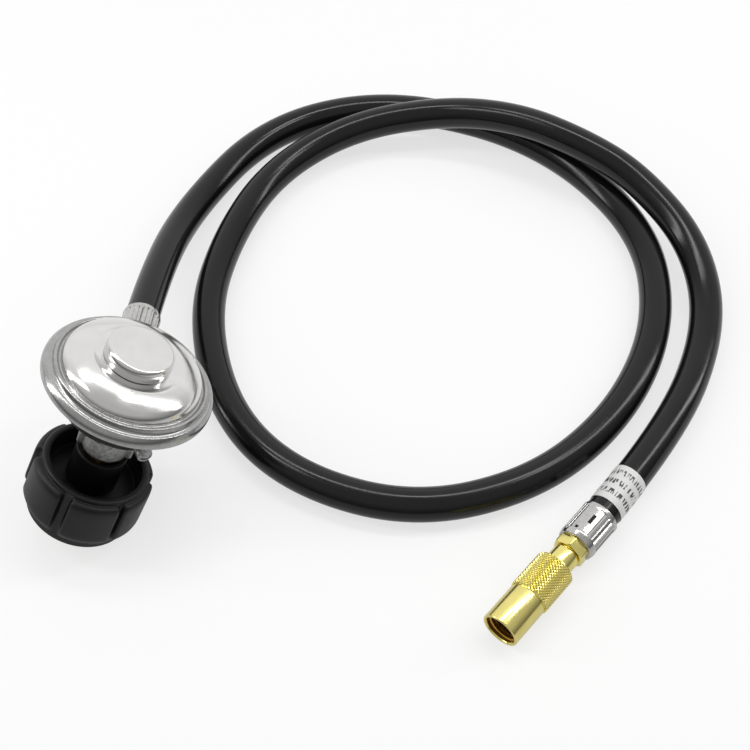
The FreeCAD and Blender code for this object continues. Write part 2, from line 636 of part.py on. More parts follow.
def lug_outline(z):
    """The nut's outline across its axis: lug crests joined to the waist by slanted flanks."""
    def at(radius, degrees):
        turn = math.radians(degrees)
        return V(radius * math.cos(turn), radius * math.sin(turn), z)

    edges = []
    for k in range(NUT_LUGS):
        middle = LUG_TURN + k * 360.0 / NUT_LUGS
        following = middle + 360.0 / NUT_LUGS
        crest = LUG_CREST / 2.0
        foot = LUG_FOOT / 2.0
        edges.append(Part.Arc(at(NUT_LUG_R, middle - crest), at(NUT_LUG_R, middle),
                              at(NUT_LUG_R, middle + crest)).toShape())
        edges.append(Part.LineSegment(at(NUT_LUG_R, middle + crest),
                                      at(NUT_WAIST_R, middle + foot)).toShape())
        edges.append(Part.Arc(at(NUT_WAIST_R, middle + foot), at(NUT_WAIST_R, middle + 180.0 / NUT_LUGS),
                              at(NUT_WAIST_R, following - foot)).toShape())
        edges.append(Part.LineSegment(at(NUT_WAIST_R, following - foot),
                                      at(NUT_LUG_R, following - crest)).toShape())
    face = Part.Face(Part.Wire(edges))
    rounded_in = face.makeOffset2D(-LUG_ROUND)
    return rounded_in.makeOffset2D(LUG_ROUND)


def make_handwheel_nut():
    """Moulded nut: six rounded lugs under a thin back rim, a deep open back and the threaded mouth."""
    lugs = lug_outline(NUT_FRONT).extrude(V(0, 0, NUT_LENGTH))
    envelope = revolved([
        (0.0, NUT_BACK), (NUT_BACK_R, NUT_BACK), (NUT_BACK_R, NUT_BACK - BACK_RIM_T),
        (NUT_LUG_R, NUT_BACK - LUG_ARCH),
        (NUT_LUG_R, NUT_FRONT + LUG_END + 1.6), (NUT_LUG_R - 1.2, NUT_FRONT + LUG_END),
        (NUT_WAIST_R - 0.6, NUT_FRONT + LUG_END),
        (NUT_WAIST_R - 0.6, NUT_FRONT), (0.0, NUT_FRONT),
    ], [0.0, 0.8, 1.5, 6.0, 1.5, 0.6, 0.2, 0.2, 0.0])
    back_rim = revolved([
        (NUT_RECESS_R - 1.0, NUT_BACK), (NUT_BACK_R, NUT_BACK), (NUT_BACK_R, NUT_BACK - 2.0),
        (NUT_WAIST_R - 0.6, NUT_BACK - 2.6), (NUT_RECESS_R - 1.0, NUT_BACK - 2.6),
    ], [0.0, 0.8, 0.6, 0.2, 0.0])
    front_rim = revolved([
        (NUT_THREAD_R, NUT_FRONT + LUG_END), (NUT_FRONT_R, NUT_FRONT + LUG_END), (NUT_FRONT_R, NUT_FRONT),
        (NUT_THREAD_R, NUT_FRONT),
    ], [0.0, 0.3, 1.0, 0.0])
    nut = lugs.common(envelope).fuse(back_rim).fuse(front_rim)
    inside = revolved([
        (0.0, NUT_BACK + 1.0), (NUT_RECESS_R + 0.9, NUT_BACK + 1.0), (NUT_RECESS_R + 0.9, NUT_BACK),
        (NUT_RECESS_R, NUT_BACK - 0.9), (NUT_RECESS_R - RECESS_TAPER, WEB_TOP), (NIPPLE_R + GAP, WEB_TOP),
        (NIPPLE_R + GAP, WEB_LOW), (NUT_THREAD_R, WEB_LOW), (NUT_THREAD_R, NUT_FRONT + 1.4),
        (NUT_THREAD_R + 1.4, NUT_FRONT), (NUT_THREAD_R + 1.4, NUT_FRONT - 1.0), (0.0, NUT_FRONT - 1.0),
    ])
    nut = nut.cut(inside)
    nut.translate(V(INLET_X, 0, 0))
    return nut.removeSplitter()


# Hose ends are drawn along X, from the hose's side, and then put on the axis that they lie on.

FERRULE_R = HOSE_OD / 2.0 + PRESS + FERRULE_WALL
HOSE_IN_FERRULE = 1.2           # how far the hose stops short of the ferrule's closed end


def along_x(profile, radius=0.0):
    """A turned solid about X, from (distance, radius) points."""
    solid = revolved([(r, x) for x, r in profile], radius)
    solid.rotate(V(0, 0, 0), V(0, 1, 0), 90.0)
    return solid


def make_ferrule(length):
    """Crimped sleeve: open lip, fluted grip and a closed end round the stem."""
    inner = HOSE_OD / 2.0 + PRESS
    hole = HOSE_ID / 2.0 + GAP
    profile = [
        (0.0, inner), (0.0, FERRULE_R), (1.6, FERRULE_R), (2.4, FERRULE_R - 0.2),
        (length - 3.4, FERRULE_R - 0.2), (length - 2.6, FERRULE_R), (length, FERRULE_R - 0.5),
        (length, hole), (length - 0.9, hole), (length - 0.9, inner),
    ]
    ferrule = along_x(profile, [0.2, 0.25, 0.4, 0.4, 0.4, 0.5, 0.5, 0.0, 0.0, 0.2])
    flute_r = 1.3
    for k in range(FERRULE_FLUTES):
        turn = 2.0 * math.pi * k / FERRULE_FLUTES
        away = FERRULE_R - 0.2 - FLUTE_DEPTH + flute_r
        at = V(3.2, away * math.cos(turn), away * math.sin(turn))
        flute = Part.makeCylinder(flute_r, length - 7.4, at, V(1, 0, 0))
        ferrule = ferrule.cut(flute)
    return ferrule


def make_barb(end, length):
    """Stem inside the hose, from its tip to end, with three rings that grip the bore."""
    grip = HOSE_ID / 2.0 - PRESS
    low = grip - 0.5
    points = [(end - length, BARB_BORE_R), (end - length, low)]
    for k in range(3):
        at = end - length + 1.5 + k * 4.0
        points += [(at, low), (at + 2.6, grip), (at + 3.0, low)]
    points += [(end, low), (end, BARB_BORE_R)]
    return along_x(points)


def make_outlet_stem():
    """Brass stem in the outlet boss: shank, collar and barb. Its hose side is X = 0."""
    barb = make_barb(FERRULE_LENGTH, FERRULE_LENGTH - 2.0)
    shank_r = HOSE_ID / 2.0 + SHANK_WALL
    shank_end = FERRULE_LENGTH + COLLAR_GAP + OUTLET_SEAT - GAP
    rest = along_x([
        (FERRULE_LENGTH - 1.0, BARB_BORE_R), (FERRULE_LENGTH - 1.0, HOSE_ID / 2.0 - PRESS),
        (FERRULE_LENGTH, HOSE_ID / 2.0 - PRESS), (FERRULE_LENGTH, STEM_COLLAR_R),
        (FERRULE_LENGTH + COLLAR_GAP, STEM_COLLAR_R), (FERRULE_LENGTH + COLLAR_GAP, shank_r),
        (shank_end, shank_r), (shank_end, BARB_BORE_R),
    ])
    return barb.fuse(rest).removeSplitter()


# Distances along the brass hose end, from the mouth of its ferrule
HEX_AT = FERRULE_LENGTH
NECK_AT = HEX_AT + HEX_T + HEX_GROOVE
KNURL_AT = NECK_AT + NECK_LENGTH + GAP
SOCKET_AT = KNURL_AT + KNURL_LENGTH
MOUTH = SOCKET_AT + SOCKET_LENGTH
THREAD_AT = MOUTH - THREAD_LENGTH
TAIL_FLANGE_AT = THREAD_AT + GAP
TAIL_FLANGE_T = 2.2
WASHER_AT = TAIL_FLANGE_AT + TAIL_FLANGE_T


def make_end_stem():
    """Barb, wrench flats and neck, and the tail with the flange that keeps the coupling on."""
    barb = make_barb(HEX_AT, FERRULE_LENGTH - 1.5)
    flats = hexagon(HEX_AF, HEX_T, HEX_AT, V(1, 0, 0), V(0, 0, 0), V(0, 1, 0))
    edge = HEX_AF / 2.0 + 0.2
    corner = HEX_AF / 2.0 + 0.9
    chamfer = along_x([
        (HEX_AT, 0.0), (HEX_AT, edge), (HEX_AT + 0.7, corner), (HEX_AT + HEX_T - 0.7, corner),
        (HEX_AT + HEX_T, edge), (HEX_AT + HEX_T, 0.0),
    ])
    flats = flats.common(chamfer)
    flats = flats.cut(Part.makeCylinder(BARB_BORE_R, HEX_T, V(HEX_AT, 0, 0), V(1, 0, 0)))
    rest = along_x([
        (HEX_AT + HEX_T - 0.5, BARB_BORE_R), (HEX_AT + HEX_T - 0.5, NECK_END_R - 1.0),
        (NECK_AT, NECK_END_R - 1.0), (NECK_AT, NECK_END_R), (NECK_AT + NECK_LENGTH, NECK_END_R),
        (NECK_AT + NECK_LENGTH, TAIL_R), (TAIL_FLANGE_AT, TAIL_R), (TAIL_FLANGE_AT, THREAD_R - GAP),
        (WASHER_AT, THREAD_R - GAP), (WASHER_AT, BARB_BORE_R),
    ])
    return barb.fuse(flats).fuse(rest).removeSplitter()


def make_coupling():
    """Swivel coupling in one piece: knurled grip, fine line, plain socket and threaded mouth."""
    hole = TAIL_R + GAP
    return along_x([
        (KNURL_AT, hole), (KNURL_AT, KNURL_R - 0.5), (KNURL_AT + 0.5, KNURL_R),
        (SOCKET_AT - SOCKET_LINE - 0.5, KNURL_R), (SOCKET_AT - SOCKET_LINE, KNURL_R - 0.5),
        (SOCKET_AT - SOCKET_LINE, SOCKET_R - 0.4), (SOCKET_AT, SOCKET_R - 0.4), (SOCKET_AT, SOCKET_R),
        (MOUTH - 0.4, SOCKET_R), (MOUTH, SOCKET_R - 0.4), (MOUTH, THREAD_R + MOUTH_CHAMFER),
        (MOUTH - MOUTH_CHAMFER, THREAD_R), (WASHER_AT + WASHER_T, THREAD_R),
        (WASHER_AT + WASHER_T, THREAD_R + RELIEF), (THREAD_AT, THREAD_R + RELIEF), (THREAD_AT, hole),
    ])


def make_coupling_washer():
    return along_x([
        (WASHER_AT, WASHER_HOLE_R), (WASHER_AT, THREAD_R - GAP), (WASHER_AT + WASHER_T, THREAD_R - GAP),
        (WASHER_AT + WASHER_T, WASHER_HOLE_R),
    ])


def make_label():
    radius = HOSE_OD / 2.0 + PRESS
    start = -LABEL_GAP - LABEL_LENGTH
    return ring(radius + LABEL_T, radius, LABEL_LENGTH, start, axis=V(1, 0, 0))


def frame_of(x_axis, z_axis, at):
    """Placement whose X and Z lie along two directions at right angles."""
    y_axis = z_axis.cross(x_axis)
    matrix = FreeCAD.Matrix(x_axis.x, y_axis.x, z_axis.x, at.x,
                            x_axis.y, y_axis.y, z_axis.y, at.y,
                            x_axis.z, y_axis.z, z_axis.z, at.z,
                            0, 0, 0, 1)
    return FreeCAD.Placement(matrix)


def in_plane(degrees):
    turn = math.radians(degrees)
    return V(math.cos(turn), math.sin(turn), 0)


def lying_frame():
    """The leaning regulator's outlet and upward directions."""
    lean = math.radians(LEAN)
    up = in_plane(LEAN_TOWARDS) * math.sin(lean) + V(0, 0, math.cos(lean))
    out = in_plane(OUTLET_TOWARDS)
    out = out - up * out.dot(up)
    out.normalize()
    return out, up


def hose_route(start, leave):
    """Corners of the route, with the two ends where the hose stops inside its ferrules."""
    points = [start, start + leave * (FERRULE_LENGTH - HOSE_IN_FERRULE + START_STRAIGHT)]
    rest_z = HOSE_OD / 2.0
    for x, y, rise in ROUTE:
        points.append(V(x, y, rest_z + rise))
    way = in_plane(END_TOWARDS)
    mouth = V(END_FERRULE_AT[0], END_FERRULE_AT[1], END_AXIS_Z)
    points.append(mouth - way * END_STRAIGHT)
    points.append(mouth + way * (FERRULE_LENGTH - HOSE_IN_FERRULE))
    return points


def make_hose(points):
    """Rubber hose: straight runs joined by the largest tangent arcs that they allow."""
    cuts = [(points[0], points[0])]
    print("hose: radius of each bend in mm")
    for i in range(1, len(points) - 1):
        back = points[i - 1] - points[i]
        ahead = points[i + 1] - points[i]
        turn = math.pi - back.getAngle(ahead)
        reach = 0.45 * min(back.Length, ahead.Length)
        print("  corner %2d: run %5.1f, turn %4.1f degrees, radius %6.1f" % (
            i, back.Length, math.degrees(turn), reach / math.tan(turn / 2.0)))
        back.normalize()
        ahead.normalize()
        cuts.append((points[i] + back * reach, points[i] + ahead * reach))
    cuts.append((points[-1], points[-1]))
    edges = []
    for i in range(len(points) - 1):
        edges.append(Part.LineSegment(cuts[i][1], cuts[i + 1][0]).toShape())
        if i + 1 < len(points) - 1:
            edges.append(tangent_arc(cuts[i + 1][0], points[i + 1], cuts[i + 1][1]))
    path = Part.Wire(edges)
    way = (points[1] - points[0]).normalize()
    tubes = []
    for radius in (HOSE_OD / 2.0, HOSE_ID / 2.0):
        section = Part.Wire(Part.makeCircle(radius, points[0], way))
        tubes.append(path.makePipeShell([section], True, False))
    hose = tubes[0].cut(tubes[1])
    expected = math.pi * (HOSE_OD ** 2 - HOSE_ID ** 2) / 4.0 * path.Length
    print("hose: length %.1f mm, volume %.0f, by its length %.0f" % (path.Length, hose.Volume, expected))
    return hose


def build():
    """Every piece in the table's frame, by name."""
    upright = {
        "cover": make_cover(),
        "cover_cap": make_cover_cap(),
        "adjusting_plug": make_adjusting_plug(),
        "control_spring": make_control_spring(),
        "diaphragm": make_diaphragm(),
        "diaphragm_plate": make_diaphragm_plate(),
        "diaphragm_stem": make_diaphragm_stem(),
        "body": make_body(),
        "lever": make_lever(),
        "lever_pin": make_lever_pin(),
        "valve_pad": make_valve_pad(),
        "valve_seat": make_valve_seat(),
        "vent_screen": make_vent_screen(),
        "inlet_nipple": make_inlet_nipple(),
        "neck_sleeve": make_neck_sleeve(),
        "thermal_bushing": make_thermal_bushing(),
        "check_retainer": make_check_retainer(),
        "check_poppet": make_check_poppet(),
        "check_spring": make_check_spring(),
        "handwheel_nut": make_handwheel_nut(),
    }
    # Hose side of the outlet's ferrule, looking back at the regulator
    exit_x = OUTLET_END + COLLAR_GAP + FERRULE_LENGTH
    outlet = frame_of(V(-1, 0, 0), V(0, 0, 1), V(exit_x, 0, OUTLET_Z))
    hose_start = {"outlet_ferrule": make_ferrule(FERRULE_LENGTH), "outlet_stem": make_outlet_stem()}
    for name, shape in hose_start.items():
        shape.Placement = outlet.multiply(shape.Placement)
        upright[name] = shape

    out, up = lying_frame()
    lying = frame_of(out, up, V(0, 0, 0))
    for shape in upright.values():
        shape.Placement = lying.multiply(shape.Placement)
    box = Part.makeCompound(list(upright.values())).optimalBoundingBox()
    shift = V(-box.Center.x, -box.Center.y, -box.ZMin)
    for shape in upright.values():
        shape.translate(shift)
    origin = shift
    print("cover's axis meets the rim's lower face at", origin)
    print("outlet direction", out, "upward direction", up)

    start = origin + out * (OUTLET_END + COLLAR_GAP + HOSE_IN_FERRULE) + up * OUTLET_Z
    points = hose_route(start, out)
    print("hose leaves its first ferrule at", origin + out * exit_x + up * OUTLET_Z)
    pieces = dict(upright)
    pieces["hose"] = make_hose(points)

    way = in_plane(END_TOWARDS)
    hose_end = frame_of(way, V(0, 0, 1), V(END_FERRULE_AT[0], END_FERRULE_AT[1], END_AXIS_Z))
    for name, shape in (
        ("hose_label", make_label()),
        ("end_ferrule", make_ferrule(FERRULE_LENGTH)),
        ("end_stem", make_end_stem()),
        ("end_coupling", make_coupling()),
        ("coupling_washer", make_coupling_washer()),
    ):
        shape.Placement = hose_end.multiply(shape.Placement)
        pieces[name] = shape
    print("mouth of the hose end at", V(END_FERRULE_AT[0], END_FERRULE_AT[1], END_AXIS_Z) + way * MOUTH)
    return pieces


def main():
    os.makedirs("parts", exist_ok=True)
    for name, shape in build().items():
        if not shape.isValid():
            print("not valid:", name)
        print("%-18s solids %d volume %.1f" % (name, len(shape.Solids), shape.Volume))
        shape.exportStep(os.path.join("parts", name + ".step"))


main()
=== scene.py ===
import math

import bpy
from mathutils import Matrix, Vector


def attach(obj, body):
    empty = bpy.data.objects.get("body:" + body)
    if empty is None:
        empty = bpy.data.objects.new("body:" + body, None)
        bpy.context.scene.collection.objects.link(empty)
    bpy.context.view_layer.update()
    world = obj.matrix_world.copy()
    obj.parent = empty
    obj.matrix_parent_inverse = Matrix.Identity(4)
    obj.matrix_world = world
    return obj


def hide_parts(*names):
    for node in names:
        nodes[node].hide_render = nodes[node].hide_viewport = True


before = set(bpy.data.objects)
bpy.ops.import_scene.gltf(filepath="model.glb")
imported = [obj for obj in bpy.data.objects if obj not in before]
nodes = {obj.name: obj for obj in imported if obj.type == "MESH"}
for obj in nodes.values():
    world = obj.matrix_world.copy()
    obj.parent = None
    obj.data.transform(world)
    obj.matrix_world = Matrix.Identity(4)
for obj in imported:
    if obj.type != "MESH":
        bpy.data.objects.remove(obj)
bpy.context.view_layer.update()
print("frame loaded:", len(nodes), "nodes")


# each piece's values are in mm and degrees; places in the whole scene, the hose and the studio are in metres

# how the regulator leans and where the hose end lies, as in the part
leanAxis = Vector((0.4045085, 0.2061074, 0.8910065))
outletAxis = Vector((0.0426772, 0.9689580, -0.2435141))
rimCentre = Vector((0.0056137, -0.0048469, 0.0591603))
hoseEndAt = Vector((0.1970, -0.0355, 0.0088))
hoseEndTurn = math.radians(229.4)
hoseEndWay = Vector((math.cos(hoseEndTurn), math.sin(hoseEndTurn), 0.0))
outletDrop = 15.5        # mm from the rim down to the outlet's axis
outletLip = 62.0         # mm from the cover's axis to the lip of the outlet's ferrule
inletOffset = -14.7      # mm from the cover's axis to the inlet's axis


def frameOf(zAxis, xAxis, origin):
    turned = Matrix((xAxis, zAxis.cross(xAxis), zAxis)).transposed().to_4x4()
    turned.translation = origin
    return turned @ Matrix.Scale(0.001, 4)     # pieces are modelled in mm


regulatorFrame = frameOf(leanAxis, outletAxis, rimCentre)
hoseEndFrame = frameOf(hoseEndWay, Vector((0.0, 0.0, 1.0)), hoseEndAt)
outletFrame = frameOf(-outletAxis, leanAxis, regulatorFrame @ Vector((outletLip, 0.0, -outletDrop)))


def mm(value):
    return value * 0.001


def perMm(size):
    return 1000.0 / size      # a texture's scale, for a pattern that repeats every size mm


def srgb(code):
    parts = [int(code[i:i + 2], 16) / 255 for i in (1, 3, 5)]
    linear = [c / 12.92 if c <= 0.04045 else ((c + 0.055) / 1.055) ** 2.4 for c in parts]
    return (*linear, 1.0)


# a colour mix's sockets, by their place
mixFactor, mixFirst, mixSecond, mixResult = 0, 6, 7, 2


def addNode(tree, kind, settings=None, links=None):
    # settings are options and constants by name or place, options first; links are what feeds its sockets
    node = tree.nodes.new(kind)
    for name, value in (settings or {}).items():
        if isinstance(name, int) or name in node.inputs:
            node.inputs[name].default_value = value
        else:
            setattr(node, name, value)
    for name, source in (links or {}).items():
        tree.links.new(source, node.inputs[name])
    return node


def newMaterial(name):
    material = bpy.data.materials.new(name)
    material.use_nodes = True
    tree = material.node_tree
    return material, tree, tree.nodes["Principled BSDF"]


def clearSelection():
    if bpy.context.object and bpy.context.object.mode != "OBJECT":
        bpy.ops.object.mode_set(mode="OBJECT")
    bpy.ops.object.select_all(action="DESELECT")


def pickOnly(piece):
    clearSelection()
    piece.select_set(True)
    bpy.context.view_layer.objects.active = piece


def editAll(piece):
    # object mode in, edit mode out, with everything selected
    pickOnly(piece)
    bpy.ops.object.mode_set(mode="EDIT")
    bpy.ops.mesh.select_all(action="SELECT")


# a rounded corner: its pieces, and how much of a side it may take up
cornerLook = {"steps": 4, "share": 0.48}
axisRadius = 0.001       # mm that stands for a point on the axis, so that a ring can still be scaled
weldGap = 0.004          # mm
closeBy = 0.1            # mm within which a vertex counts as on a line


def softCorners(corners, closed=False):
    # corners are (radius, height, how far the corner is rounded along its sides)
    line = []
    for index, (radius, height, soft) in enumerate(corners):
        here = Vector((radius, height))
        if soft == 0 or (not closed and index in (0, len(corners) - 1)):
            line.append(here)
            continue
        back = Vector(corners[index - 1][:2]) - here
        ahead = Vector(corners[(index + 1) % len(corners)][:2]) - here
        reach = min(soft, cornerLook["share"] * back.length, cornerLook["share"] * ahead.length)
        start = here + back.normalized() * reach
        end = here + ahead.normalized() * reach
        for step in range(cornerLook["steps"] + 1):
            share = step / cornerLook["steps"]
            line.append(start * (1 - share) ** 2 + here * 2 * share * (1 - share) + end * share ** 2)
    return line


def turnOnLathe(name, corners, sides, closed=False):
    # a ring of edges, extruded from corner to corner of the outline and scaled to each radius
    line = softCorners(corners, closed)
    if closed:
        line.append(line[0])
    clearSelection()
    bpy.ops.mesh.primitive_circle_add(vertices=sides, radius=max(line[0].x, axisRadius),
                                      location=(0.0, 0.0, line[0].y))
    piece = bpy.context.object
    piece.name = name
    bpy.ops.object.transform_apply(location=True)
    editAll(piece)
    for before, here in zip(line, line[1:]):
        grow = max(here.x, axisRadius) / max(before.x, axisRadius)
        bpy.ops.mesh.extrude_edges_move(TRANSFORM_OT_translate={"value": (0.0, 0.0, here.y - before.y)})
        bpy.ops.transform.resize(value=(grow, grow, 1.0), center_override=(0.0, 0.0, here.y))
    bpy.ops.mesh.select_all(action="SELECT")
    bpy.ops.mesh.remove_doubles(threshold=weldGap)
    bpy.ops.mesh.normals_make_consistent(inside=False)
    bpy.ops.object.mode_set(mode="OBJECT")
    return piece


def pickVertices(piece, test):
    # object mode in, edit mode out, with only the vertices that pass the test selected
    pickOnly(piece)
    bpy.ops.object.mode_set(mode="EDIT")
    bpy.ops.mesh.select_mode(type="VERT")
    bpy.ops.mesh.select_all(action="DESELECT")
    bpy.ops.object.mode_set(mode="OBJECT")
    for vertex in piece.data.vertices:
        vertex.select = test(vertex.co)
    bpy.ops.object.mode_set(mode="EDIT")


def pickFaces(piece, test):
    # the same with faces, by their middle
    pickOnly(piece)
    bpy.ops.object.mode_set(mode="EDIT")
    bpy.ops.mesh.select_mode(type="FACE")
    bpy.ops.mesh.select_all(action="DESELECT")
    bpy.ops.object.mode_set(mode="OBJECT")
    for face in piece.data.polygons:
        face.select = test(face.center)
    bpy.ops.object.mode_set(mode="EDIT")


def addModifier(piece, kind, settings):
    # adds one and applies it
    pickOnly(piece)
    modifier = piece.modifiers.new(kind.lower(), kind)
    for name, value in settings.items():
        setattr(modifier, name, value)
    bpy.ops.object.modifier_apply(modifier=modifier.name)


def joinPieces(main, others):
    pickOnly(main)
    for other in others:
        other.select_set(True)
    bpy.ops.object.join()
    return main


def putInPlace(piece, seat):
    pickOnly(piece)
    piece.matrix_world = seat @ piece.matrix_world
    bpy.ops.object.transform_apply(location=True, rotation=True, scale=True)


def drawTube(name, route, radius, steps, roundness):
    # a round tube with closed ends along a smooth route
    curve = bpy.data.curves.new(name, "CURVE")
    curve.dimensions = "3D"
    curve.resolution_u = steps
    curve.bevel_depth = radius
    curve.bevel_resolution = roundness
    curve.use_fill_caps = True
    spline = curve.splines.new("NURBS")
    spline.points.add(len(route) - 1)
    for point, place in zip(spline.points, route):
        point.co = (*place, 1.0)
    spline.order_u = 3
    spline.use_endpoint_u = True
    tube = bpy.data.objects.new(name, curve)
    bpy.context.scene.collection.objects.link(tube)
    return tube


def finishPiece(piece, name, material, body, node=None, smooth=35.0, second=None):
    # second is a finish for the faces that were given material index 1
    piece.name = name
    piece.data.name = name
    chosen = [face.material_index for face in piece.data.polygons] if second else []
    piece.data.materials.clear()
    piece.data.materials.append(material)
    if second:
        piece.data.materials.append(second)
        for face, index in zip(piece.data.polygons, chosen):
            face.material_index = index
    if piece.type == "MESH":
        pickOnly(piece)
        bpy.ops.object.shade_smooth_by_angle(angle=math.radians(smooth))
    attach(piece, body)
    if node:
        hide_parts(node)
    return piece


# camera: as high over the table and as far away as the photograph's
cameraLook = {
    "place": (0.10398, -0.32682, 0.50893),
    "down": 54.0,
    "lens": 66.96,
    "sensor": 36.0,
    "nearest": 0.01,
}
cameraData = bpy.data.cameras.new("camera")
cameraData.lens = cameraLook["lens"]
cameraData.sensor_width = cameraLook["sensor"]
cameraData.clip_start = cameraLook["nearest"]
camera = bpy.data.objects.new("camera", cameraData)
camera.location = cameraLook["place"]
camera.rotation_euler = (math.radians(90.0 - cameraLook["down"]), 0.0, 0.0)
bpy.context.scene.collection.objects.link(camera)
bpy.context.scene.camera = camera
print("camera placed")


# hose: smooth black rubber with an extruded skin
hoseLook = {
    "diameter": 0.015,
    "length": 1.238,
    "steps": 12, "roundness": 10,
    "colour": "#101011",
    "skinRoughness": (0.13, 0.21),
    "shine": 0.32,
    "bloom": 22.0,           # mm between the patches that are a little duller
    "dieLines": 0.35,        # mm between the faint marks of the die, several times the real ones so that they show
    "dieDepth": 0.05,
}
hoseRoute = [
    (0.00126, 0.03556, 0.03439), (0.00327, 0.08110, 0.02295), (0.0135, 0.1370, 0.0075),
    (0.0485, 0.1910, 0.0075), (0.1025, 0.2110, 0.0075), (0.1610, 0.1980, 0.0075),
    (0.2045, 0.1675, 0.0075), (0.2345, 0.1185, 0.0075), (0.2340, 0.0650, 0.0075),
    (0.2110, 0.0165, 0.0075), (0.1730, -0.0185, 0.0075), (0.1210, -0.0330, 0.0075),
    (0.0700, -0.0170, 0.0075), (0.0385, 0.0170, 0.0075), (0.0250, 0.0720, 0.0075),
    (0.0335, 0.1190, 0.0075), (0.0535, 0.1615, 0.0085), (0.0915, 0.1885, 0.0130),
    (0.1380, 0.1925, 0.0200), (0.1740, 0.1805, 0.0270), (0.2045, 0.1625, 0.0270),
    (0.2300, 0.1450, 0.0220), (0.2545, 0.1090, 0.0145), (0.2575, 0.0640, 0.0075),
    (0.22954, 0.00246, 0.0088), (0.18594, -0.04841, 0.0088),
]


def makeHoseRubber():
    # carbon black rubber out of a die: long narrow highlights, a little uneven along the hose
    c = hoseLook
    material, tree, shader = newMaterial("extrudedNitrileRubber")
    shader.inputs["Base Color"].default_value = srgb(c["colour"])
    shader.inputs["Specular IOR Level"].default_value = c["shine"]
    place = addNode(tree, "ShaderNodeTexCoord")
    bloom = addNode(tree, "ShaderNodeTexNoise", {"Scale": perMm(c["bloom"]), "Detail": 3.0},
                    {"Vector": place.outputs["Object"]})
    low, high = c["skinRoughness"]
    rough = addNode(tree, "ShaderNodeMapRange", {"From Min": 0.35, "From Max": 0.65, "To Min": low, "To Max": high},
                    {"Value": bloom.outputs["Fac"]})
    tree.links.new(rough.outputs["Result"], shader.inputs["Roughness"])
    skin = addNode(tree, "ShaderNodeTexNoise", {"Scale": perMm(c["dieLines"]), "Detail": 1.0},
                   {"Vector": place.outputs["Object"]})
    bump = addNode(tree, "ShaderNodeBump", {"Strength": 0.03, "Distance": mm(c["dieDepth"])},
                   {"Height": skin.outputs["Fac"]})
    tree.links.new(bump.outputs["Normal"], shader.inputs["Normal"])
    return material


hoseTube = drawTube("hoseTube", hoseRoute, hoseLook["diameter"] / 2, hoseLook["steps"], hoseLook["roundness"])
finishPiece(hoseTube, "hoseTube", makeHoseRubber(), "regulator", "hose")


def readHoseMiddle():
    # the route's own line, as points in the hose end's frame
    bare = hoseTube.copy()
    bare.data = hoseTube.data.copy()
    bare.data.bevel_depth = 0.0
    bpy.context.scene.collection.objects.link(bare)
    bpy.context.view_layer.update()
    line = bpy.data.meshes.new_from_object(bare.evaluated_get(bpy.context.evaluated_depsgraph_get()))
    toEnd = hoseEndFrame.inverted()
    points = [toEnd @ vertex.co for vertex in line.vertices]
    bpy.data.objects.remove(bare)
    return points


hoseMiddle = readHoseMiddle()[-60:]         # only the stretch that carries the label


def besideHoseEnd(along):
    # where the hose's middle lies, along mm from the ferrule's mouth, in the hose end's frame
    for before, here in zip(hoseMiddle, hoseMiddle[1:]):
        if before.z <= along <= here.z:
            share = (along - before.z) / (here.z - before.z)
            return before.lerp(here, share)
    return Vector((0.0, 0.0, along))


print("hose laid")


# finishes that several pieces share: roughness is (smoothest, roughest), grain and patches are in mm
def addSkin(tree, shader, grain, dents, relief, patch, detail, roughness):
    # a fine grain in relief, and patches that are smoother and rougher, which it hands back
    place = addNode(tree, "ShaderNodeTexCoord")
    fine = addNode(tree, "ShaderNodeTexNoise", {"Scale": perMm(grain), "Detail": 2.0},
                   {"Vector": place.outputs["Object"]})
    bump = addNode(tree, "ShaderNodeBump", {"Strength": dents, "Distance": mm(relief)},
                   {"Height": fine.outputs["Fac"]})
    tree.links.new(bump.outputs["Normal"], shader.inputs["Normal"])
    patches = addNode(tree, "ShaderNodeTexNoise", {"Scale": perMm(patch), "Detail": detail, "Roughness": 0.6},
                      {"Vector": place.outputs["Object"]})
    rough = addNode(tree, "ShaderNodeMapRange",
                    {"From Min": 0.3, "From Max": 0.7, "To Min": roughness[0], "To Max": roughness[1]},
                    {"Value": patches.outputs["Fac"]})
    tree.links.new(rough.outputs["Result"], shader.inputs["Roughness"])
    return patches


metalLook = {"relief": 0.06, "detail": 4.0}
mouldLook = {"relief": 0.05, "patch": 14.0, "detail": 5.0, "scuffed": (0.3, 0.3, 0.3, 1.0)}


def makeMetal(name, colour, roughness, grain, dents, marks, patch):
    # dents from 0 to 1 set how strong the grain is, and marks how much the patches are darkened
    material, tree, shader = newMaterial(name)
    shader.inputs["Metallic"].default_value = 1.0
    patches = addSkin(tree, shader, grain, dents, metalLook["relief"], patch, metalLook["detail"], roughness)
    stain = addNode(tree, "ShaderNodeMapRange",
                    {"From Min": 0.35, "From Max": 0.7, "To Min": 1.0, "To Max": 1.0 - marks},
                    {"Value": patches.outputs["Fac"]})
    tint = addNode(tree, "ShaderNodeMix",
                   {"data_type": "RGBA", "blend_type": "MULTIPLY", mixFactor: 1.0, mixFirst: srgb(colour)},
                   {mixSecond: stain.outputs["Result"]})
    tree.links.new(tint.outputs[mixResult], shader.inputs["Base Color"])
    return material


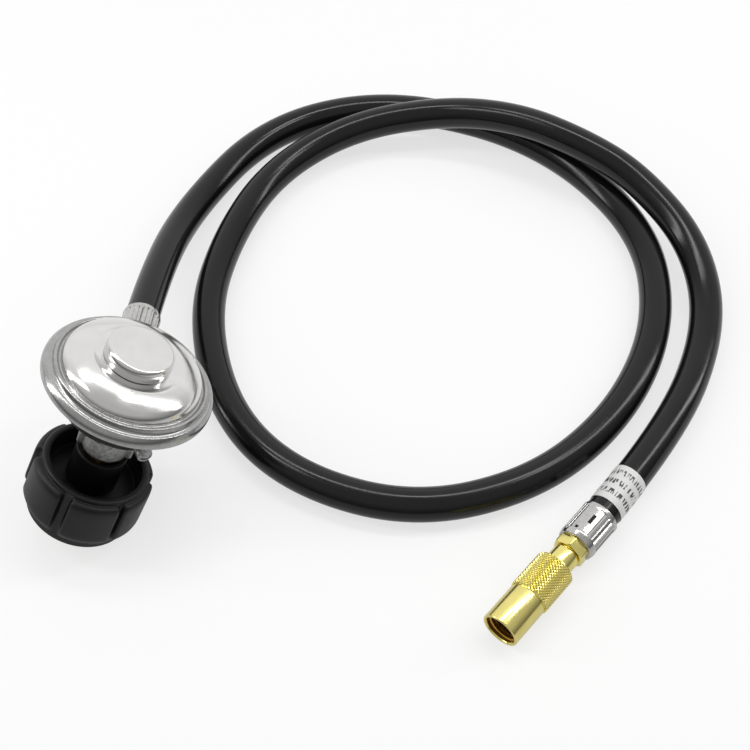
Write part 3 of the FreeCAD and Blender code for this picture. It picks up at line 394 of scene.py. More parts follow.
def makeMoulded(name, colour, roughness, grain, dents, paler, shine=0.5):
    # plastic or rubber out of a mould: an even colour that is paler where it is scuffed
    c = mouldLook
    material, tree, shader = newMaterial(name)
    shader.inputs["Specular IOR Level"].default_value = shine
    patches = addSkin(tree, shader, grain, dents, c["relief"], c["patch"], c["detail"], roughness)
    scuff = addNode(tree, "ShaderNodeMapRange", {"From Min": 0.45, "From Max": 0.8, "To Min": 0.0, "To Max": paler},
                    {"Value": patches.outputs["Fac"]})
    tint = addNode(tree, "ShaderNodeMix",
                   {"data_type": "RGBA", mixFirst: srgb(colour), mixSecond: c["scuffed"]},
                   {mixFactor: scuff.outputs["Result"]})
    tree.links.new(tint.outputs[mixResult], shader.inputs["Base Color"])
    return material


# the dome and cap shine like a mirror that is a little worn; the rolled rim is rougher, and its darker colour is
# painted shade for its dim reflections
pressedSteel = makeMetal("brightPressedSteel", "#dfdedc", (0.12, 0.22), 0.5, 0.03, 0.06, 9.0)
rimSteelPaintedShade = makeMetal("rimSteelWithPaintedShade", "#aeaead", (0.18, 0.30), 0.35, 0.10, 0.16, 2.5)
# a rough grey skin, mottled as it came from the die
castZinc = makeMetal("dieCastZinc", "#a9a9a8", (0.28, 0.46), 0.9, 1.0, 0.5, 1.3)
# warm and bright, with small stains where it was crimped
platedSteel = makeMetal("nickelPlatedSteel", "#c6c5c3", (0.13, 0.24), 0.6, 0.05, 0.18, 2.0)
# pale yellow where it was polished, browner and darker where a tool cut it and left it; inside the coupling's
# threaded bore that darker brass is partly painted shade
brightBrass = makeMetal("polishedBrass", "#f0e28c", (0.16, 0.26), 0.5, 0.04, 0.10, 5.0)
dullBrassAndPaintedShade = makeMetal("turnedBrassAndPaintedShade", "#c9a24a", (0.24, 0.38), 0.3, 0.08, 0.15, 4.0)
# plain satin metal, for what lies inside
springSteel = makeMetal("drawnSpringSteel", "#9c9c9e", (0.28, 0.40), 0.2, 0.08, 0.15, 3.0)
zincedSteel = makeMetal("zincPlatedSteel", "#b4b6b8", (0.30, 0.42), 0.3, 0.06, 0.12, 4.0)
rivetAluminium = makeMetal("headedAluminium", "#c4c5c7", (0.30, 0.42), 0.3, 0.08, 0.10, 3.0)
# satin black with soft highlights on the nut; a still darker black for the parts in its back, partly painted shade
# in that recess, which also stands as painted shade in the seam's gap, the slots and the vent's mouth
blackMoulding = makeMoulded("mouldedBlackNylon", "#0c0c0d", (0.36, 0.50), 0.30, 0.10, 0.02, 0.32)
blackPlasticAndPaintedShade = makeMoulded("blackAcetalAndPaintedShade", "#080809", (0.38, 0.50), 0.25, 0.06, 0.01, 0.2)
# dull and almost black, for what seals
sheetRubber = makeMoulded("clothBackedRubber", "#1b1a1a", (0.60, 0.75), 0.35, 0.30, 0.04)
print("finishes mixed")


# cover: one steel pressing, from its rolled rim up to the neck
coverLook = {
    "sides": 192, "sheet": 1.0,
    "rim": 35.0, "rimHeight": 5.4, "rimSlope": 1.6, "slopeHeight": 2.0, "roll": 1.6, "lip": 3.2,
    "step": 32.4, "stepRise": 0.7, "bead": 31.2, "beadHeight": 7.9, "groove": 29.4, "grooveHeight": 6.8,
    "beadFlanks": (0.6, 0.3), "dome": 28.5, "wallHeight": 7.7, "shoulder": 27.2, "shoulderHeight": 10.9,
    "shoulderCurve": ((-1.0, 0.7, 0.9), (0.4, -0.5, 0.9), (1.1, -1.9, 0.8)),    # from its corner, and softness
    "crown": 22.8, "crownHeight": 13.6, "dish": 18.6, "dishHeight": 15.2,
    "trough": 16.6, "troughHeight": 14.5, "neck": 12.6, "neckTop": 19.7,
    "insideSlope": (1.2, 1.4), "insideWall": 2.1, "insideShoulder": 0.6, "insideCrown": 0.5,
    "paintedShadeFrom": 0.2,        # beyond the dome, where the sheet is bent and its darker colour is painted shade
}


def makeCover():
    c = coverLook
    sheet = c["sheet"]
    inner, outer = c["beadFlanks"]
    slopeIn, slopeDown = c["insideSlope"]
    underRim, underNeck = c["rimHeight"] - sheet, c["troughHeight"] - sheet
    curve = [(c["shoulder"] + across, c["shoulderHeight"] + up, soft) for across, up, soft in c["shoulderCurve"]]
    outside = [
        (c["neck"], c["neckTop"], 0.2), (c["neck"], c["troughHeight"], 0.8),
        (c["trough"], c["troughHeight"], 0.9), (c["dish"], c["dishHeight"], 0.9),
        (c["crown"], c["crownHeight"], 2.0), *curve,
        (c["dome"], c["wallHeight"], 0.5), (c["dome"], c["grooveHeight"], 0.35),
        (c["groove"], c["grooveHeight"], 0.35), (c["groove"] + inner, c["beadHeight"], 0.5),
        (c["bead"], c["beadHeight"], 0.6), (c["bead"] + outer, c["rimHeight"] + c["stepRise"], 0.4),
        (c["step"], c["rimHeight"], 0.5), (c["rim"] - c["rimSlope"], c["rimHeight"], 0.5),
        (c["rim"], c["rimHeight"] - c["slopeHeight"], c["roll"]), (c["rim"], 0.0, c["roll"]),
        (c["rim"] - c["lip"], 0.0, 0.3),
    ]
    inside = [
        (c["rim"] - c["lip"], sheet, 0.2), (c["rim"] - sheet, sheet, 0.3),
        (c["rim"] - sheet, underRim - slopeDown, 0.4), (c["rim"] - sheet - slopeIn, underRim, 0.4),
        (c["dome"] - sheet, underRim, 0.4), (c["dome"] - sheet, c["shoulderHeight"] - c["insideWall"], 0.5),
        (c["shoulder"] - c["insideShoulder"], c["shoulderHeight"] - sheet, 0.8),
        (c["crown"] - c["insideCrown"], c["crownHeight"] - sheet, 1.5), (c["dish"], c["dishHeight"] - sheet, 0.8),
        (c["trough"], underNeck, 0.5), (c["neck"] - sheet, underNeck, 0.3), (c["neck"] - sheet, c["neckTop"], 0.2),
    ]
    piece = turnOnLathe("coverPressing", outside + inside, c["sides"], closed=True)
    # faces beyond the dome take the rim's finish, whose darker colour is painted shade
    for face in piece.data.polygons:
        rolled = math.hypot(face.center.x, face.center.y) > c["dome"] + c["paintedShadeFrom"]
        face.material_index = 1 if rolled else 0
    putInPlace(piece, regulatorFrame)
    finishPiece(piece, "coverPressing", pressedSteel, "regulator", "cover", second=rimSteelPaintedShade)


makeCover()
print("cover pressed")


# cap: a shallow pressed cup over the cover's neck
capLook = {
    "sides": 128, "radius": 13.8, "top": 20.6, "low": 14.8, "sheet": 0.9,
    "edge": 1.9, "edgeFrom": 4.6, "taper": 0.25, "insideTaper": 0.1,
}


def makeCap():
    c = capLook
    inside = c["radius"] - c["sheet"]
    piece = turnOnLathe("pressedCap", [
        (0.0, c["top"], 0), (c["radius"] - c["edgeFrom"], c["top"], 0.3),
        (c["radius"] - c["taper"], c["top"], c["edge"]), (c["radius"], c["low"], 0.15), (inside, c["low"], 0.15),
        (inside - c["insideTaper"], c["top"] - c["sheet"], 0.3), (0.0, c["top"] - c["sheet"], 0),
    ], c["sides"])
    putInPlace(piece, regulatorFrame)
    finishPiece(piece, "pressedCap", pressedSteel, "regulator", "cover_cap")


makeCap()
print("cap pressed")


# threads: a ridge swept along the wall of a hole
threadLook = {"steps": 72, "root": 0.2}       # its root reaches that far into the wall


def sweepThread(wall, crest, foot, top, start, pitch, turns):
    # foot is the ridge's width at the wall, and top its width at the crest as a share of that
    c = threadLook
    clearSelection()
    bpy.ops.mesh.primitive_plane_add(size=1.0, location=(0.0, 0.0, 0.0))
    ridge = bpy.context.object
    editAll(ridge)
    bpy.ops.transform.resize(value=(wall - crest + c["root"], foot, 1.0))
    bpy.ops.transform.rotate(value=math.radians(90.0), orient_axis="X", center_override=(0.0, 0.0, 0.0))
    bpy.ops.transform.translate(value=((wall + crest + c["root"]) / 2, 0.0, start))
    pickVertices(ridge, lambda at: at.x < (wall + crest) / 2)
    bpy.ops.transform.resize(value=(1.0, 1.0, top), center_override=(crest, 0.0, start))
    bpy.ops.object.mode_set(mode="OBJECT")
    addModifier(ridge, "SCREW", {"angle": math.radians(360.0), "screw_offset": pitch, "iterations": turns,
                                 "steps": c["steps"], "render_steps": c["steps"]})
    editAll(ridge)
    bpy.ops.mesh.normals_make_consistent(inside=False)
    bpy.ops.object.mode_set(mode="OBJECT")
    return ridge


# nut: six broad lugs under a thin back rim, an open back and a threaded mouth
nutLook = {
    "sides": 72,
    "back": -31.0, "backRadius": 21.9, "rimInner": 0.5, "rimOuter": 0.6, "rimDepth": 1.5,
    "waist": 21.5, "waistRows": (0.0, 5.0, 11.0, 17.0),     # mm under the lugs' top
    "front": -60.0, "frontRadius": 21.6, "frontBevel": 0.8, "frontBand": 1.6,
    "lugs": 6, "lug": 24.7, "lugTurn": 187.0,
    "lugFaces": 10,           # of the twelve faces from lug to lug
    "lugTop": -33.0, "lugCrest": -35.6, "lugArch": 1.5, "archPower": 2.5, "lugLow": -54.8, "lugFoot": -53.6,
    "recess": 18.8, "recessTaper": 0.8, "web": -40.0, "webLow": -44.0, "hole": 6.3,
    "thread": 15.5, "threadCrest": 14.6, "pitch": 4.23, "turns": 3, "threadInset": 1.6, "mouthBevel": (0.9, 1.2),
    "ridgeFoot": 1.9, "ridgeTop": 0.55,
    "outerWall": 0.5, "sameColumn": 0.01,       # mm and radians within which a vertex is picked
}


def makeNut():
    c = nutLook
    mouthWide, mouthDeep = c["mouthBevel"]
    piece = turnOnLathe("lugNut", [
        (c["recess"], c["back"] - c["rimInner"], 0), (c["recess"] + c["rimInner"], c["back"], 0),
        (c["backRadius"] - c["rimOuter"], c["back"], 0), (c["backRadius"], c["back"] - c["rimOuter"], 0),
        (c["backRadius"], c["back"] - c["rimDepth"], 0),
        *[(c["waist"], c["lugTop"] - under, 0) for under in c["waistRows"]], (c["waist"], c["lugLow"], 0),
        (c["frontRadius"], c["front"] + c["frontBand"], 0), (c["frontRadius"], c["front"] + c["frontBevel"], 0),
        (c["frontRadius"] - c["frontBevel"], c["front"], 0), (c["thread"] + mouthWide, c["front"], 0),
        (c["thread"], c["front"] + mouthDeep, 0.4), (c["thread"], c["webLow"], 0.5), (c["hole"], c["webLow"], 0.3),
        (c["hole"], c["web"], 0.3), (c["recess"] - c["recessTaper"], c["web"], 0.5),
    ], c["sides"], closed=True)
    step = math.radians(360.0 / c["lugs"])
    face = math.radians(360.0 / c["sides"])

    def fromLug(at):
        # the angle from the middle of the nearest lug
        turn = math.atan2(at.y, at.x) + step / 2 - face / 2
        return abs((turn % step) - step / 2)

    def onOutside(at, radius):
        return math.hypot(at.x, at.y) > radius - c["outerWall"]

    half = c["lugFaces"] // 2
    pickFaces(piece, lambda at: fromLug(at) < face * half and c["lugLow"] < at.z < c["lugTop"]
              and onOutside(at, c["waist"]))
    grow = c["lug"] / c["waist"]
    bpy.ops.mesh.extrude_region_move(TRANSFORM_OT_translate={"value": (0.0, 0.0, 0.0)})
    bpy.ops.transform.resize(value=(grow, grow, 1.0), center_override=(0.0, 0.0, 0.0))
    # the lug's top falls away from the rim, most at its corners, and its foot is drawn up a little
    for column in range(half + 1):
        fall = (c["lugCrest"] - c["lugTop"]) * (1.0 + c["lugArch"] * (column / half) ** c["archPower"])
        pickVertices(piece, lambda at: abs(fromLug(at) - face * column) < c["sameColumn"]
                     and onOutside(at, c["lug"]) and abs(at.z - c["lugTop"]) < closeBy)
        bpy.ops.transform.translate(value=(0.0, 0.0, fall))
    pickVertices(piece, lambda at: onOutside(at, c["lug"]) and abs(at.z - c["lugLow"]) < closeBy)
    bpy.ops.transform.translate(value=(0.0, 0.0, c["lugFoot"] - c["lugLow"]))
    bpy.ops.object.mode_set(mode="OBJECT")
    addModifier(piece, "SUBSURF", {"levels": 2, "render_levels": 2})

    ridge = sweepThread(c["thread"], c["threadCrest"], c["ridgeFoot"], c["ridgeTop"],
                        c["webLow"] - c["threadInset"], -c["pitch"], c["turns"])
    joinPieces(piece, [ridge])
    editAll(piece)
    bpy.ops.transform.rotate(value=-math.radians(c["lugTurn"]), orient_axis="Z", center_override=(0.0, 0.0, 0.0))
    bpy.ops.transform.translate(value=(inletOffset, 0.0, 0.0))
    bpy.ops.object.mode_set(mode="OBJECT")
    putInPlace(piece, regulatorFrame)
    finishPiece(piece, "lugNut", blackMoulding, "nut", "handwheel_nut")


makeNut()
print("nut moulded")


# crimped ferrules: a rounded lip, a grip pressed into narrow facets and a closed end
ferruleLook = {
    "sides": 96, "length": 18.2, "radius": 8.4, "inner": 7.55, "hole": 4.3, "endWall": 0.9,
    "lip": (1.7, 2.4), "grip": 0.15, "gripEnd": 3.6, "collar": 2.6, "endBevel": 0.5,
    "facets": 24, "depth": 0.42, "facetHalf": 0.13, "facetFrom": 2.2, "facetEnd": 3.3, "outerWall": 0.6,
    "plain": (-13.0, 58.0),       # degrees that the facets leave out, on the hose end's ferrule
}


def makeFerrule(name, node, seat, plain=None):
    c = ferruleLook
    grip = c["radius"] - c["grip"]
    lipFlat, lipEnd = c["lip"]
    piece = turnOnLathe(name, [
        (c["inner"], 0.0, 0.15), (c["radius"], 0.0, 0.4), (c["radius"], lipFlat, 0.3), (grip, lipEnd, 0.3),
        (grip, c["length"] - c["gripEnd"], 0.3), (c["radius"], c["length"] - c["collar"], 0.4),
        (c["radius"] - c["endBevel"], c["length"], 0.5), (c["hole"], c["length"], 0.1),
        (c["hole"], c["length"] - c["endWall"], 0.1), (c["inner"], c["length"] - c["endWall"], 0.2),
    ], c["sides"], closed=True)
    spread = math.radians(360.0 / c["facets"])

    def pressed(at):
        turn = math.atan2(at.y, at.x)
        if plain and math.radians(plain[0]) < turn < math.radians(plain[1]):
            return False
        inFacet = abs((turn % spread) - spread / 2) < spread * c["facetHalf"]
        onGrip = c["facetFrom"] < at.z < c["length"] - c["facetEnd"]
        return inFacet and onGrip and math.hypot(at.x, at.y) > c["radius"] - c["outerWall"]

    pickVertices(piece, pressed)
    shrink = 1.0 - c["depth"] / c["radius"]
    bpy.ops.transform.resize(value=(shrink, shrink, 1.0), center_override=(0.0, 0.0, 0.0))
    bpy.ops.object.mode_set(mode="OBJECT")
    putInPlace(piece, seat)
    finishPiece(piece, name, platedSteel, "regulator", node, smooth=18.0)


makeFerrule("outletCrimp", "outlet_ferrule", outletFrame)
makeFerrule("endCrimp", "end_ferrule", hoseEndFrame, ferruleLook["plain"])
print("ferrules crimped")


# the narrow pressed loop along the hose end's ferrule, and the two slots beside it
seamLook = {
    "turn": 47.0, "half": 5.5, "from": 1.6, "to": 16.4, "bend": 1.0, "radius": 8.35,
    "wire": 0.36, "gap": 0.72, "gapSunk": 0.52, "steps": 6, "roundness": 3,
    "slots": ((-2.0, 5.5, 10.4, 0.8), (20.0, 13.6, 15.7, 0.75)),        # turn, from, to, half width
    "slotMiddle": 8.06, "slotThick": 0.5, "slotEdge": 0.22,
}


def makeCrimpSeam():
    c = seamLook

    def onFerrule(degrees, along, sunk):
        turn = math.radians(degrees)
        return (c["radius"] - sunk) * math.cos(turn), (c["radius"] - sunk) * math.sin(turn), along

    low, high = c["turn"] - c["half"], c["turn"] + c["half"]
    path = [
        (low, c["from"]), (low, c["to"] - c["bend"]), ((low + c["turn"]) / 2, c["to"]),
        ((high + c["turn"]) / 2, c["to"]), (high, c["to"] - c["bend"]), (high, c["from"]),
    ]
    # the bright wire of the loop, and under it a wider, lower dark tube that is painted shadow in the groove on both
    # sides of the wire
    for name, thick, sunk, material in (("crimpSeam", c["wire"], 0.0, platedSteel),
                                        ("paintedSeamShadow", c["gap"], c["gapSunk"], blackPlasticAndPaintedShade)):
        route = [onFerrule(turn, along, sunk) for turn, along in path]
        seam = drawTube(name, route, thick, c["steps"], c["roundness"])
        pickOnly(seam)
        bpy.ops.object.convert(target="MESH")
        putInPlace(seam, hoseEndFrame)
        finishPiece(seam, name, material, "regulator", smooth=60.0)


def makeCrimpSlots():
    c = seamLook
    slots = []
    # each slot is a dark box set into the ferrule's wall: painted shade in the slot
    for turn, start, end, half in c["slots"]:
        clearSelection()
        bpy.ops.mesh.primitive_cube_add(size=1.0, location=(0.0, 0.0, 0.0))
        slot = bpy.context.object
        editAll(slot)
        bpy.ops.transform.resize(value=(c["slotThick"], 2.0 * half, end - start))
        bpy.ops.transform.translate(value=(c["slotMiddle"], 0.0, (start + end) / 2))
        bpy.ops.mesh.bevel(offset=c["slotEdge"], segments=2, affect="EDGES")
        bpy.ops.transform.rotate(value=-math.radians(turn), orient_axis="Z", center_override=(0.0, 0.0, 0.0))
        bpy.ops.object.mode_set(mode="OBJECT")
        slots.append(slot)
    slot = joinPieces(slots[0], slots[1:])
    putInPlace(slot, hoseEndFrame)
    finishPiece(slot, "paintedSlotShade", blackPlasticAndPaintedShade, "regulator")


makeCrimpSeam()
makeCrimpSlots()
print("crimp seam pressed")


# label: a white printed film wrapped round the hose
labelLook = {
    "sides": 96, "from": -23.0, "to": -4.2, "inner": 7.55, "film": 0.2, "edge": 0.06, "bands": 6,
    "white": "#dcdcda", "ink": "#38383c", "roughness": 0.42,
    "rows": 3, "rowPitch": 5.2, "rowHeight": 2.7, "firstRow": -20.4,
    "strokes": (1.15, 0.26, 1.0),       # how often a stroke starts per mm, round the hose and along it
    "creases": 0.5,                     # faint creases per mm
}


def makeLabelFilm():
    # glossy white film, with rows of dark print that says nothing; u runs round the hose and v along it, in mm
    c = labelLook
    material, tree, shader = newMaterial("printedWhiteFilm")
    shader.inputs["Roughness"].default_value = c["roughness"]
    place = addNode(tree, "ShaderNodeUVMap", {"uv_map": "wrap"})
    parts = addNode(tree, "ShaderNodeSeparateXYZ", {}, {"Vector": place.outputs["UV"]})
    along = addNode(tree, "ShaderNodeMath", {"operation": "SUBTRACT", 1: c["firstRow"]}, {0: parts.outputs["Y"]})
    inRow = addNode(tree, "ShaderNodeMath", {"operation": "MODULO", 1: c["rowPitch"]}, {0: along.outputs[0]})
    rowTop = addNode(tree, "ShaderNodeMath", {"operation": "LESS_THAN", 1: c["rowHeight"]}, {0: inRow.outputs[0]})
    started = addNode(tree, "ShaderNodeMath", {"operation": "GREATER_THAN", 1: 0.0}, {0: along.outputs[0]})
    lastRowEnd = c["rowPitch"] * (c["rows"] - 1) + c["rowHeight"]
    ended = addNode(tree, "ShaderNodeMath", {"operation": "LESS_THAN", 1: lastRowEnd}, {0: along.outputs[0]})
    stretch = addNode(tree, "ShaderNodeMapping", {"Scale": c["strokes"]}, {"Vector": place.outputs["UV"]})
    noise = addNode(tree, "ShaderNodeTexNoise", {"Scale": 1.0, "Detail": 1.0, "Roughness": 0.4},
                    {"Vector": stretch.outputs["Vector"]})
    stroke = addNode(tree, "ShaderNodeMapRange", {"From Min": 0.50, "From Max": 0.55},
                     {"Value": noise.outputs["Fac"]})
    ink = stroke.outputs["Result"]
    for gate in (rowTop, started, ended):
        both = addNode(tree, "ShaderNodeMath", {"operation": "MULTIPLY"}, {0: ink, 1: gate.outputs[0]})
        ink = both.outputs[0]
    shade = addNode(tree, "ShaderNodeMix",
                    {"data_type": "RGBA", mixFirst: srgb(c["white"]), mixSecond: srgb(c["ink"])}, {mixFactor: ink})
    tree.links.new(shade.outputs[mixResult], shader.inputs["Base Color"])
    crease = addNode(tree, "ShaderNodeTexNoise", {"Scale": c["creases"], "Detail": 3.0},
                     {"Vector": place.outputs["UV"]})
    bump = addNode(tree, "ShaderNodeBump", {"Strength": 0.12, "Distance": mm(0.1)},
                   {"Height": crease.outputs["Fac"]})
    tree.links.new(bump.outputs["Normal"], shader.inputs["Normal"])
    return material


def makeLabel():
    c = labelLook
    outer = c["inner"] + c["film"]
    length = c["to"] - c["from"]
    rings = [(outer, c["from"] + length * step / c["bands"], 0) for step in range(1, c["bands"])]
    piece = turnOnLathe("printedLabel", [
        (c["inner"], c["from"], 0.0), (outer, c["from"], c["edge"]), *rings, (outer, c["to"], c["edge"]),
        (c["inner"], c["to"], 0.0),
    ], c["sides"], closed=True)
    wrap = piece.data.uv_layers.new(name="wrap")
    for face in piece.data.polygons:
        around = math.atan2(face.center.y, face.center.x)
        for corner in face.loop_indices:
            at = piece.data.vertices[piece.data.loops[corner].vertex_index].co
            turn = math.atan2(at.y, at.x)
            if turn - around > math.pi:
                turn -= 2.0 * math.pi
            if around - turn > math.pi:
                turn += 2.0 * math.pi
            wrap.data[corner].uv = (turn * outer, at.z)
    # the film follows the hose where it leaves the ferrule's axis
    for vertex in piece.data.vertices:
        beside = besideHoseEnd(vertex.co.z)
        vertex.co.x += beside.x
        vertex.co.y += beside.y
    putInPlace(piece, hoseEndFrame)
    finishPiece(piece, "printedLabel", makeLabelFilm(), "regulator", "hose_label")


makeLabel()
print("label wrapped")


# brass stem: wrench flats, groove and neck
stemLook = {
    "sides": 96, "flats": 13.0, "hexFrom": 18.2, "hex": 5.0, "chamfer": 0.7, "chamferIn": 0.15, "chamferOut": 0.95,
    "cutClear": 0.01, "edge": 0.12, "barb": 4.0, "barbFrom": 1.5, "inHex": 0.5,
    "grooveRadius": 4.8, "neckFrom": 23.8, "neck": 5.8, "neckLength": 7.1, "bore": 2.6,
    "tail": 5.0, "tailFlange": 6.1, "tailFrom": 43.1, "tailTo": 45.3,
}


def makeEndStem():
    c = stemLook
    clearSelection()
    corner = c["flats"] / math.sqrt(3.0)
    bpy.ops.mesh.primitive_circle_add(vertices=6, radius=corner, fill_type="NGON", location=(0.0, 0.0, c["hexFrom"]))
    hexagon = bpy.context.object
    bpy.ops.object.transform_apply(location=True)
    editAll(hexagon)
    bpy.ops.transform.rotate(value=math.radians(30.0), orient_axis="Z", center_override=(0.0, 0.0, 0.0))
    bpy.ops.mesh.extrude_region_move(TRANSFORM_OT_translate={"value": (0.0, 0.0, c["hex"])})
    bpy.ops.mesh.select_all(action="SELECT")
    bpy.ops.mesh.normals_make_consistent(inside=False)
    bpy.ops.object.mode_set(mode="OBJECT")
    # its corners are turned off at both ends
    low, high = c["hexFrom"] - c["cutClear"], c["hexFrom"] + c["hex"] + c["cutClear"]
    small, wide = c["flats"] / 2 + c["chamferIn"], c["flats"] / 2 + c["chamferOut"]
    cone = turnOnLathe("cornerCut", [
        (0.0, low, 0), (small, low, 0), (wide, c["hexFrom"] + c["chamfer"], 0),
        (wide, c["hexFrom"] + c["hex"] - c["chamfer"], 0), (small, high, 0), (0.0, high, 0),
    ], c["sides"])
    addModifier(hexagon, "BOOLEAN", {"object": cone, "operation": "INTERSECT", "solver": "EXACT"})
    bpy.data.objects.remove(cone)
    addModifier(hexagon, "BEVEL", {"width": c["edge"], "segments": 2, "angle_limit": math.radians(30.0)})
    seated = c["hexFrom"] + c["inHex"]
    neckEnd = c["neckFrom"] + c["neckLength"]
    tube = turnOnLathe("stemTube", [
        (c["bore"], c["barbFrom"], 0), (c["barb"], c["barbFrom"], 0.2), (c["barb"], seated, 0),
        (c["grooveRadius"], seated, 0), (c["grooveRadius"], c["neckFrom"], 0.1), (c["neck"], c["neckFrom"], 0.35),
        (c["neck"], neckEnd, 0.3), (c["tail"], neckEnd, 0.1), (c["tail"], c["tailFrom"], 0.1),
        (c["tailFlange"], c["tailFrom"], 0.1), (c["tailFlange"], c["tailTo"], 0.1), (c["bore"], c["tailTo"], 0.1),
    ], c["sides"], closed=True)
    piece = joinPieces(hexagon, [tube])
    putInPlace(piece, hoseEndFrame)
    finishPiece(piece, "brassStem", brightBrass, "regulator", "end_stem", smooth=25.0)


makeEndStem()
print("stem turned")


# coupling: knurled grip, fine line, plain socket and threaded mouth
couplingLook = {
    "sides": 128, "knurlFrom": 31.2, "knurlTo": 49.6, "knurl": 8.75, "edge": 0.6,
    "diamonds": 36, "rows": 22, "depth": 0.52,        # coarser than the real knurl, so that it shows
    "socketFrom": 50.1, "mouth": 68.0, "socket": 8.15, "line": 7.7, "hole": 5.3, "flangeSeat": 42.8,
    "thread": 6.75, "threadCrest": 6.15, "pitch": 1.81, "threadFrom": 47.3, "mouthBevel": (0.35, 0.6),
    "ridgeFoot": 1.2, "ridgeTop": 0.2, "ridgeFrom": 48.5, "ridgeSpare": 1.9, "tappedTo": 0.5,
}


def makeKnurl():
    # a sleeve of small squares: every second vertex is pressed in, so each square's middle stands up
    c = couplingLook
    around = 2 * c["diamonds"]
    gripFrom = c["knurlFrom"] + c["edge"]
    length = c["knurlTo"] - c["knurlFrom"] - 2 * c["edge"]
    pitch = length / c["rows"]
    rings = [(c["knurl"], gripFrom + pitch * row, 0) for row in range(c["rows"] + 1)]
    sleeve = turnOnLathe("knurlSleeve", [
        (c["hole"], c["knurlFrom"], 0), (c["knurl"] - c["edge"], c["knurlFrom"], 0), *rings,
        (c["knurl"] - c["edge"], c["knurlTo"], 0), (c["line"], c["knurlTo"], 0),
    ], around)

    def lowCorner(at):
        if math.hypot(at.x, at.y) < c["knurl"] - closeBy:
            return False
        column = round(math.atan2(at.y, at.x) / (2.0 * math.pi / around))
        row = round((at.z - gripFrom) / pitch)
        return (column + row) % 2 == 1

    pickVertices(sleeve, lowCorner)
    shrink = 1.0 - c["depth"] / c["knurl"]
    bpy.ops.transform.resize(value=(shrink, shrink, 1.0), center_override=(0.0, 0.0, 0.0))
    bpy.ops.mesh.select_all(action="SELECT")
    bpy.ops.mesh.quads_convert_to_tris(quad_method="SHORTEST_DIAGONAL")
    bpy.ops.object.mode_set(mode="OBJECT")
    return sleeve


def makeCoupling():
    c = couplingLook
    mouthWide, mouthDeep = c["mouthBevel"]
    knurl = makeKnurl()
    socket = turnOnLathe("socketTube", [
        (c["line"], c["knurlTo"], 0), (c["line"], c["socketFrom"], 0.05), (c["socket"], c["socketFrom"], 0.15),
        (c["socket"], c["mouth"], 0.45), (c["thread"] + mouthWide, c["mouth"], 0.2),
        (c["thread"], c["mouth"] - mouthDeep, 0.1), (c["thread"], c["threadFrom"], 0.1),
        (c["thread"], c["flangeSeat"], 0.1), (c["hole"], c["flangeSeat"], 0.1), (c["hole"], c["knurlFrom"], 0),
    ], c["sides"])
    turns = int((c["mouth"] - c["threadFrom"] - c["ridgeSpare"]) / c["pitch"])
    ridge = sweepThread(c["thread"], c["threadCrest"], c["ridgeFoot"], c["ridgeTop"],
                        c["ridgeFrom"], c["pitch"], turns)
    piece = joinPieces(knurl, [socket, ridge])
    # faces inside the threaded bore take the darker, browner brass: a rougher cut finish, partly painted shade in
    # the bore
    for face in piece.data.polygons:
        inside = math.hypot(face.center.x, face.center.y) < c["thread"] + closeBy
        face.material_index = 1 if inside and face.center.z < c["mouth"] - c["tappedTo"] else 0
    putInPlace(piece, hoseEndFrame)
    finishPiece(piece, "brassCoupling", brightBrass, "coupling", "end_coupling", smooth=20.0, second=dullBrassAndPaintedShade)


makeCoupling()
print("coupling turned and knurled")


# vent: a bright lip round the mouth, whose dark disc is painted shade in the hole, on the spout's side
ventLook = {
    "sides": 48, "turn": 209.5, "at": 24.4, "drop": -8.5, "spout": 3.2, "lip": 2.3, "mouth": 1.25, "rise": 0.7,
    "lipRoot": 1.6, "mouthRoot": 0.6, "shadeDiscTop": 0.05, "shadeDiscRoot": 0.5,
    "outwards": (0.25, -0.85, 0.35), "keepAlong": 0.65,      # how much of its way along the spout the lip keeps
}


def makeVentLip():
    c = ventLook
    turn = math.radians(c["turn"])
    middle = regulatorFrame @ Vector((c["at"] * math.cos(turn), c["at"] * math.sin(turn), c["drop"]))
    spoutWay = (regulatorFrame.to_3x3() @ Vector((math.cos(turn), math.sin(turn), 0.0))).normalized()
    outwards = Vector(c["outwards"])
    outwards = (outwards - (1.0 - c["keepAlong"]) * outwards.dot(spoutWay) * spoutWay).normalized()
    seat = frameOf(outwards, outwards.orthogonal().normalized(), middle)
    top = c["spout"] + c["rise"]
    lip = turnOnLathe("ventLip", [
        (c["lip"], c["spout"] - c["lipRoot"], 0), (c["lip"], top, 0.5), (c["mouth"], top, 0.4),
        (c["mouth"], c["spout"] - c["mouthRoot"], 0),
    ], c["sides"])
    putInPlace(lip, seat)
    finishPiece(lip, "ventLip", platedSteel, "regulator", smooth=50.0)
    # a dark disc just inside the lip is painted shade in the vent's hole
    high, low = c["spout"] + c["shadeDiscTop"], c["spout"] - c["shadeDiscRoot"]
    mouth = turnOnLathe("ventHolePaintedShade", [(0.0, high, 0), (c["mouth"], high, 0), (c["mouth"], low, 0), (0.0, low, 0)],
                        c["sides"])
    putInPlace(mouth, seat)
    finishPiece(mouth, "ventHolePaintedShade", blackPlasticAndPaintedShade, "regulator")


makeVentLip()
print("vent lip set")


# the pieces that keep the solids' shape get their finish
finishes = {
    "body": castZinc, "vent_screen": zincedSteel, "neck_sleeve": blackPlasticAndPaintedShade, "thermal_bushing": blackMoulding,
    "inlet_nipple": dullBrassAndPaintedShade, "outlet_stem": dullBrassAndPaintedShade, "valve_seat": dullBrassAndPaintedShade, "check_retainer": dullBrassAndPaintedShade,
    "check_poppet": dullBrassAndPaintedShade, "check_spring": springSteel, "control_spring": springSteel,
    "adjusting_plug": blackPlasticAndPaintedShade, "diaphragm": sheetRubber, "diaphragm_plate": zincedSteel,
    "diaphragm_stem": rivetAluminium, "lever": zincedSteel, "lever_pin": springSteel, "valve_pad": sheetRubber,
    "coupling_washer": sheetRubber,
}
for name, material in finishes.items():
    for slot in nodes[name].material_slots:
        slot.material = material
print("finishes given to", len(finishes), "nodes")


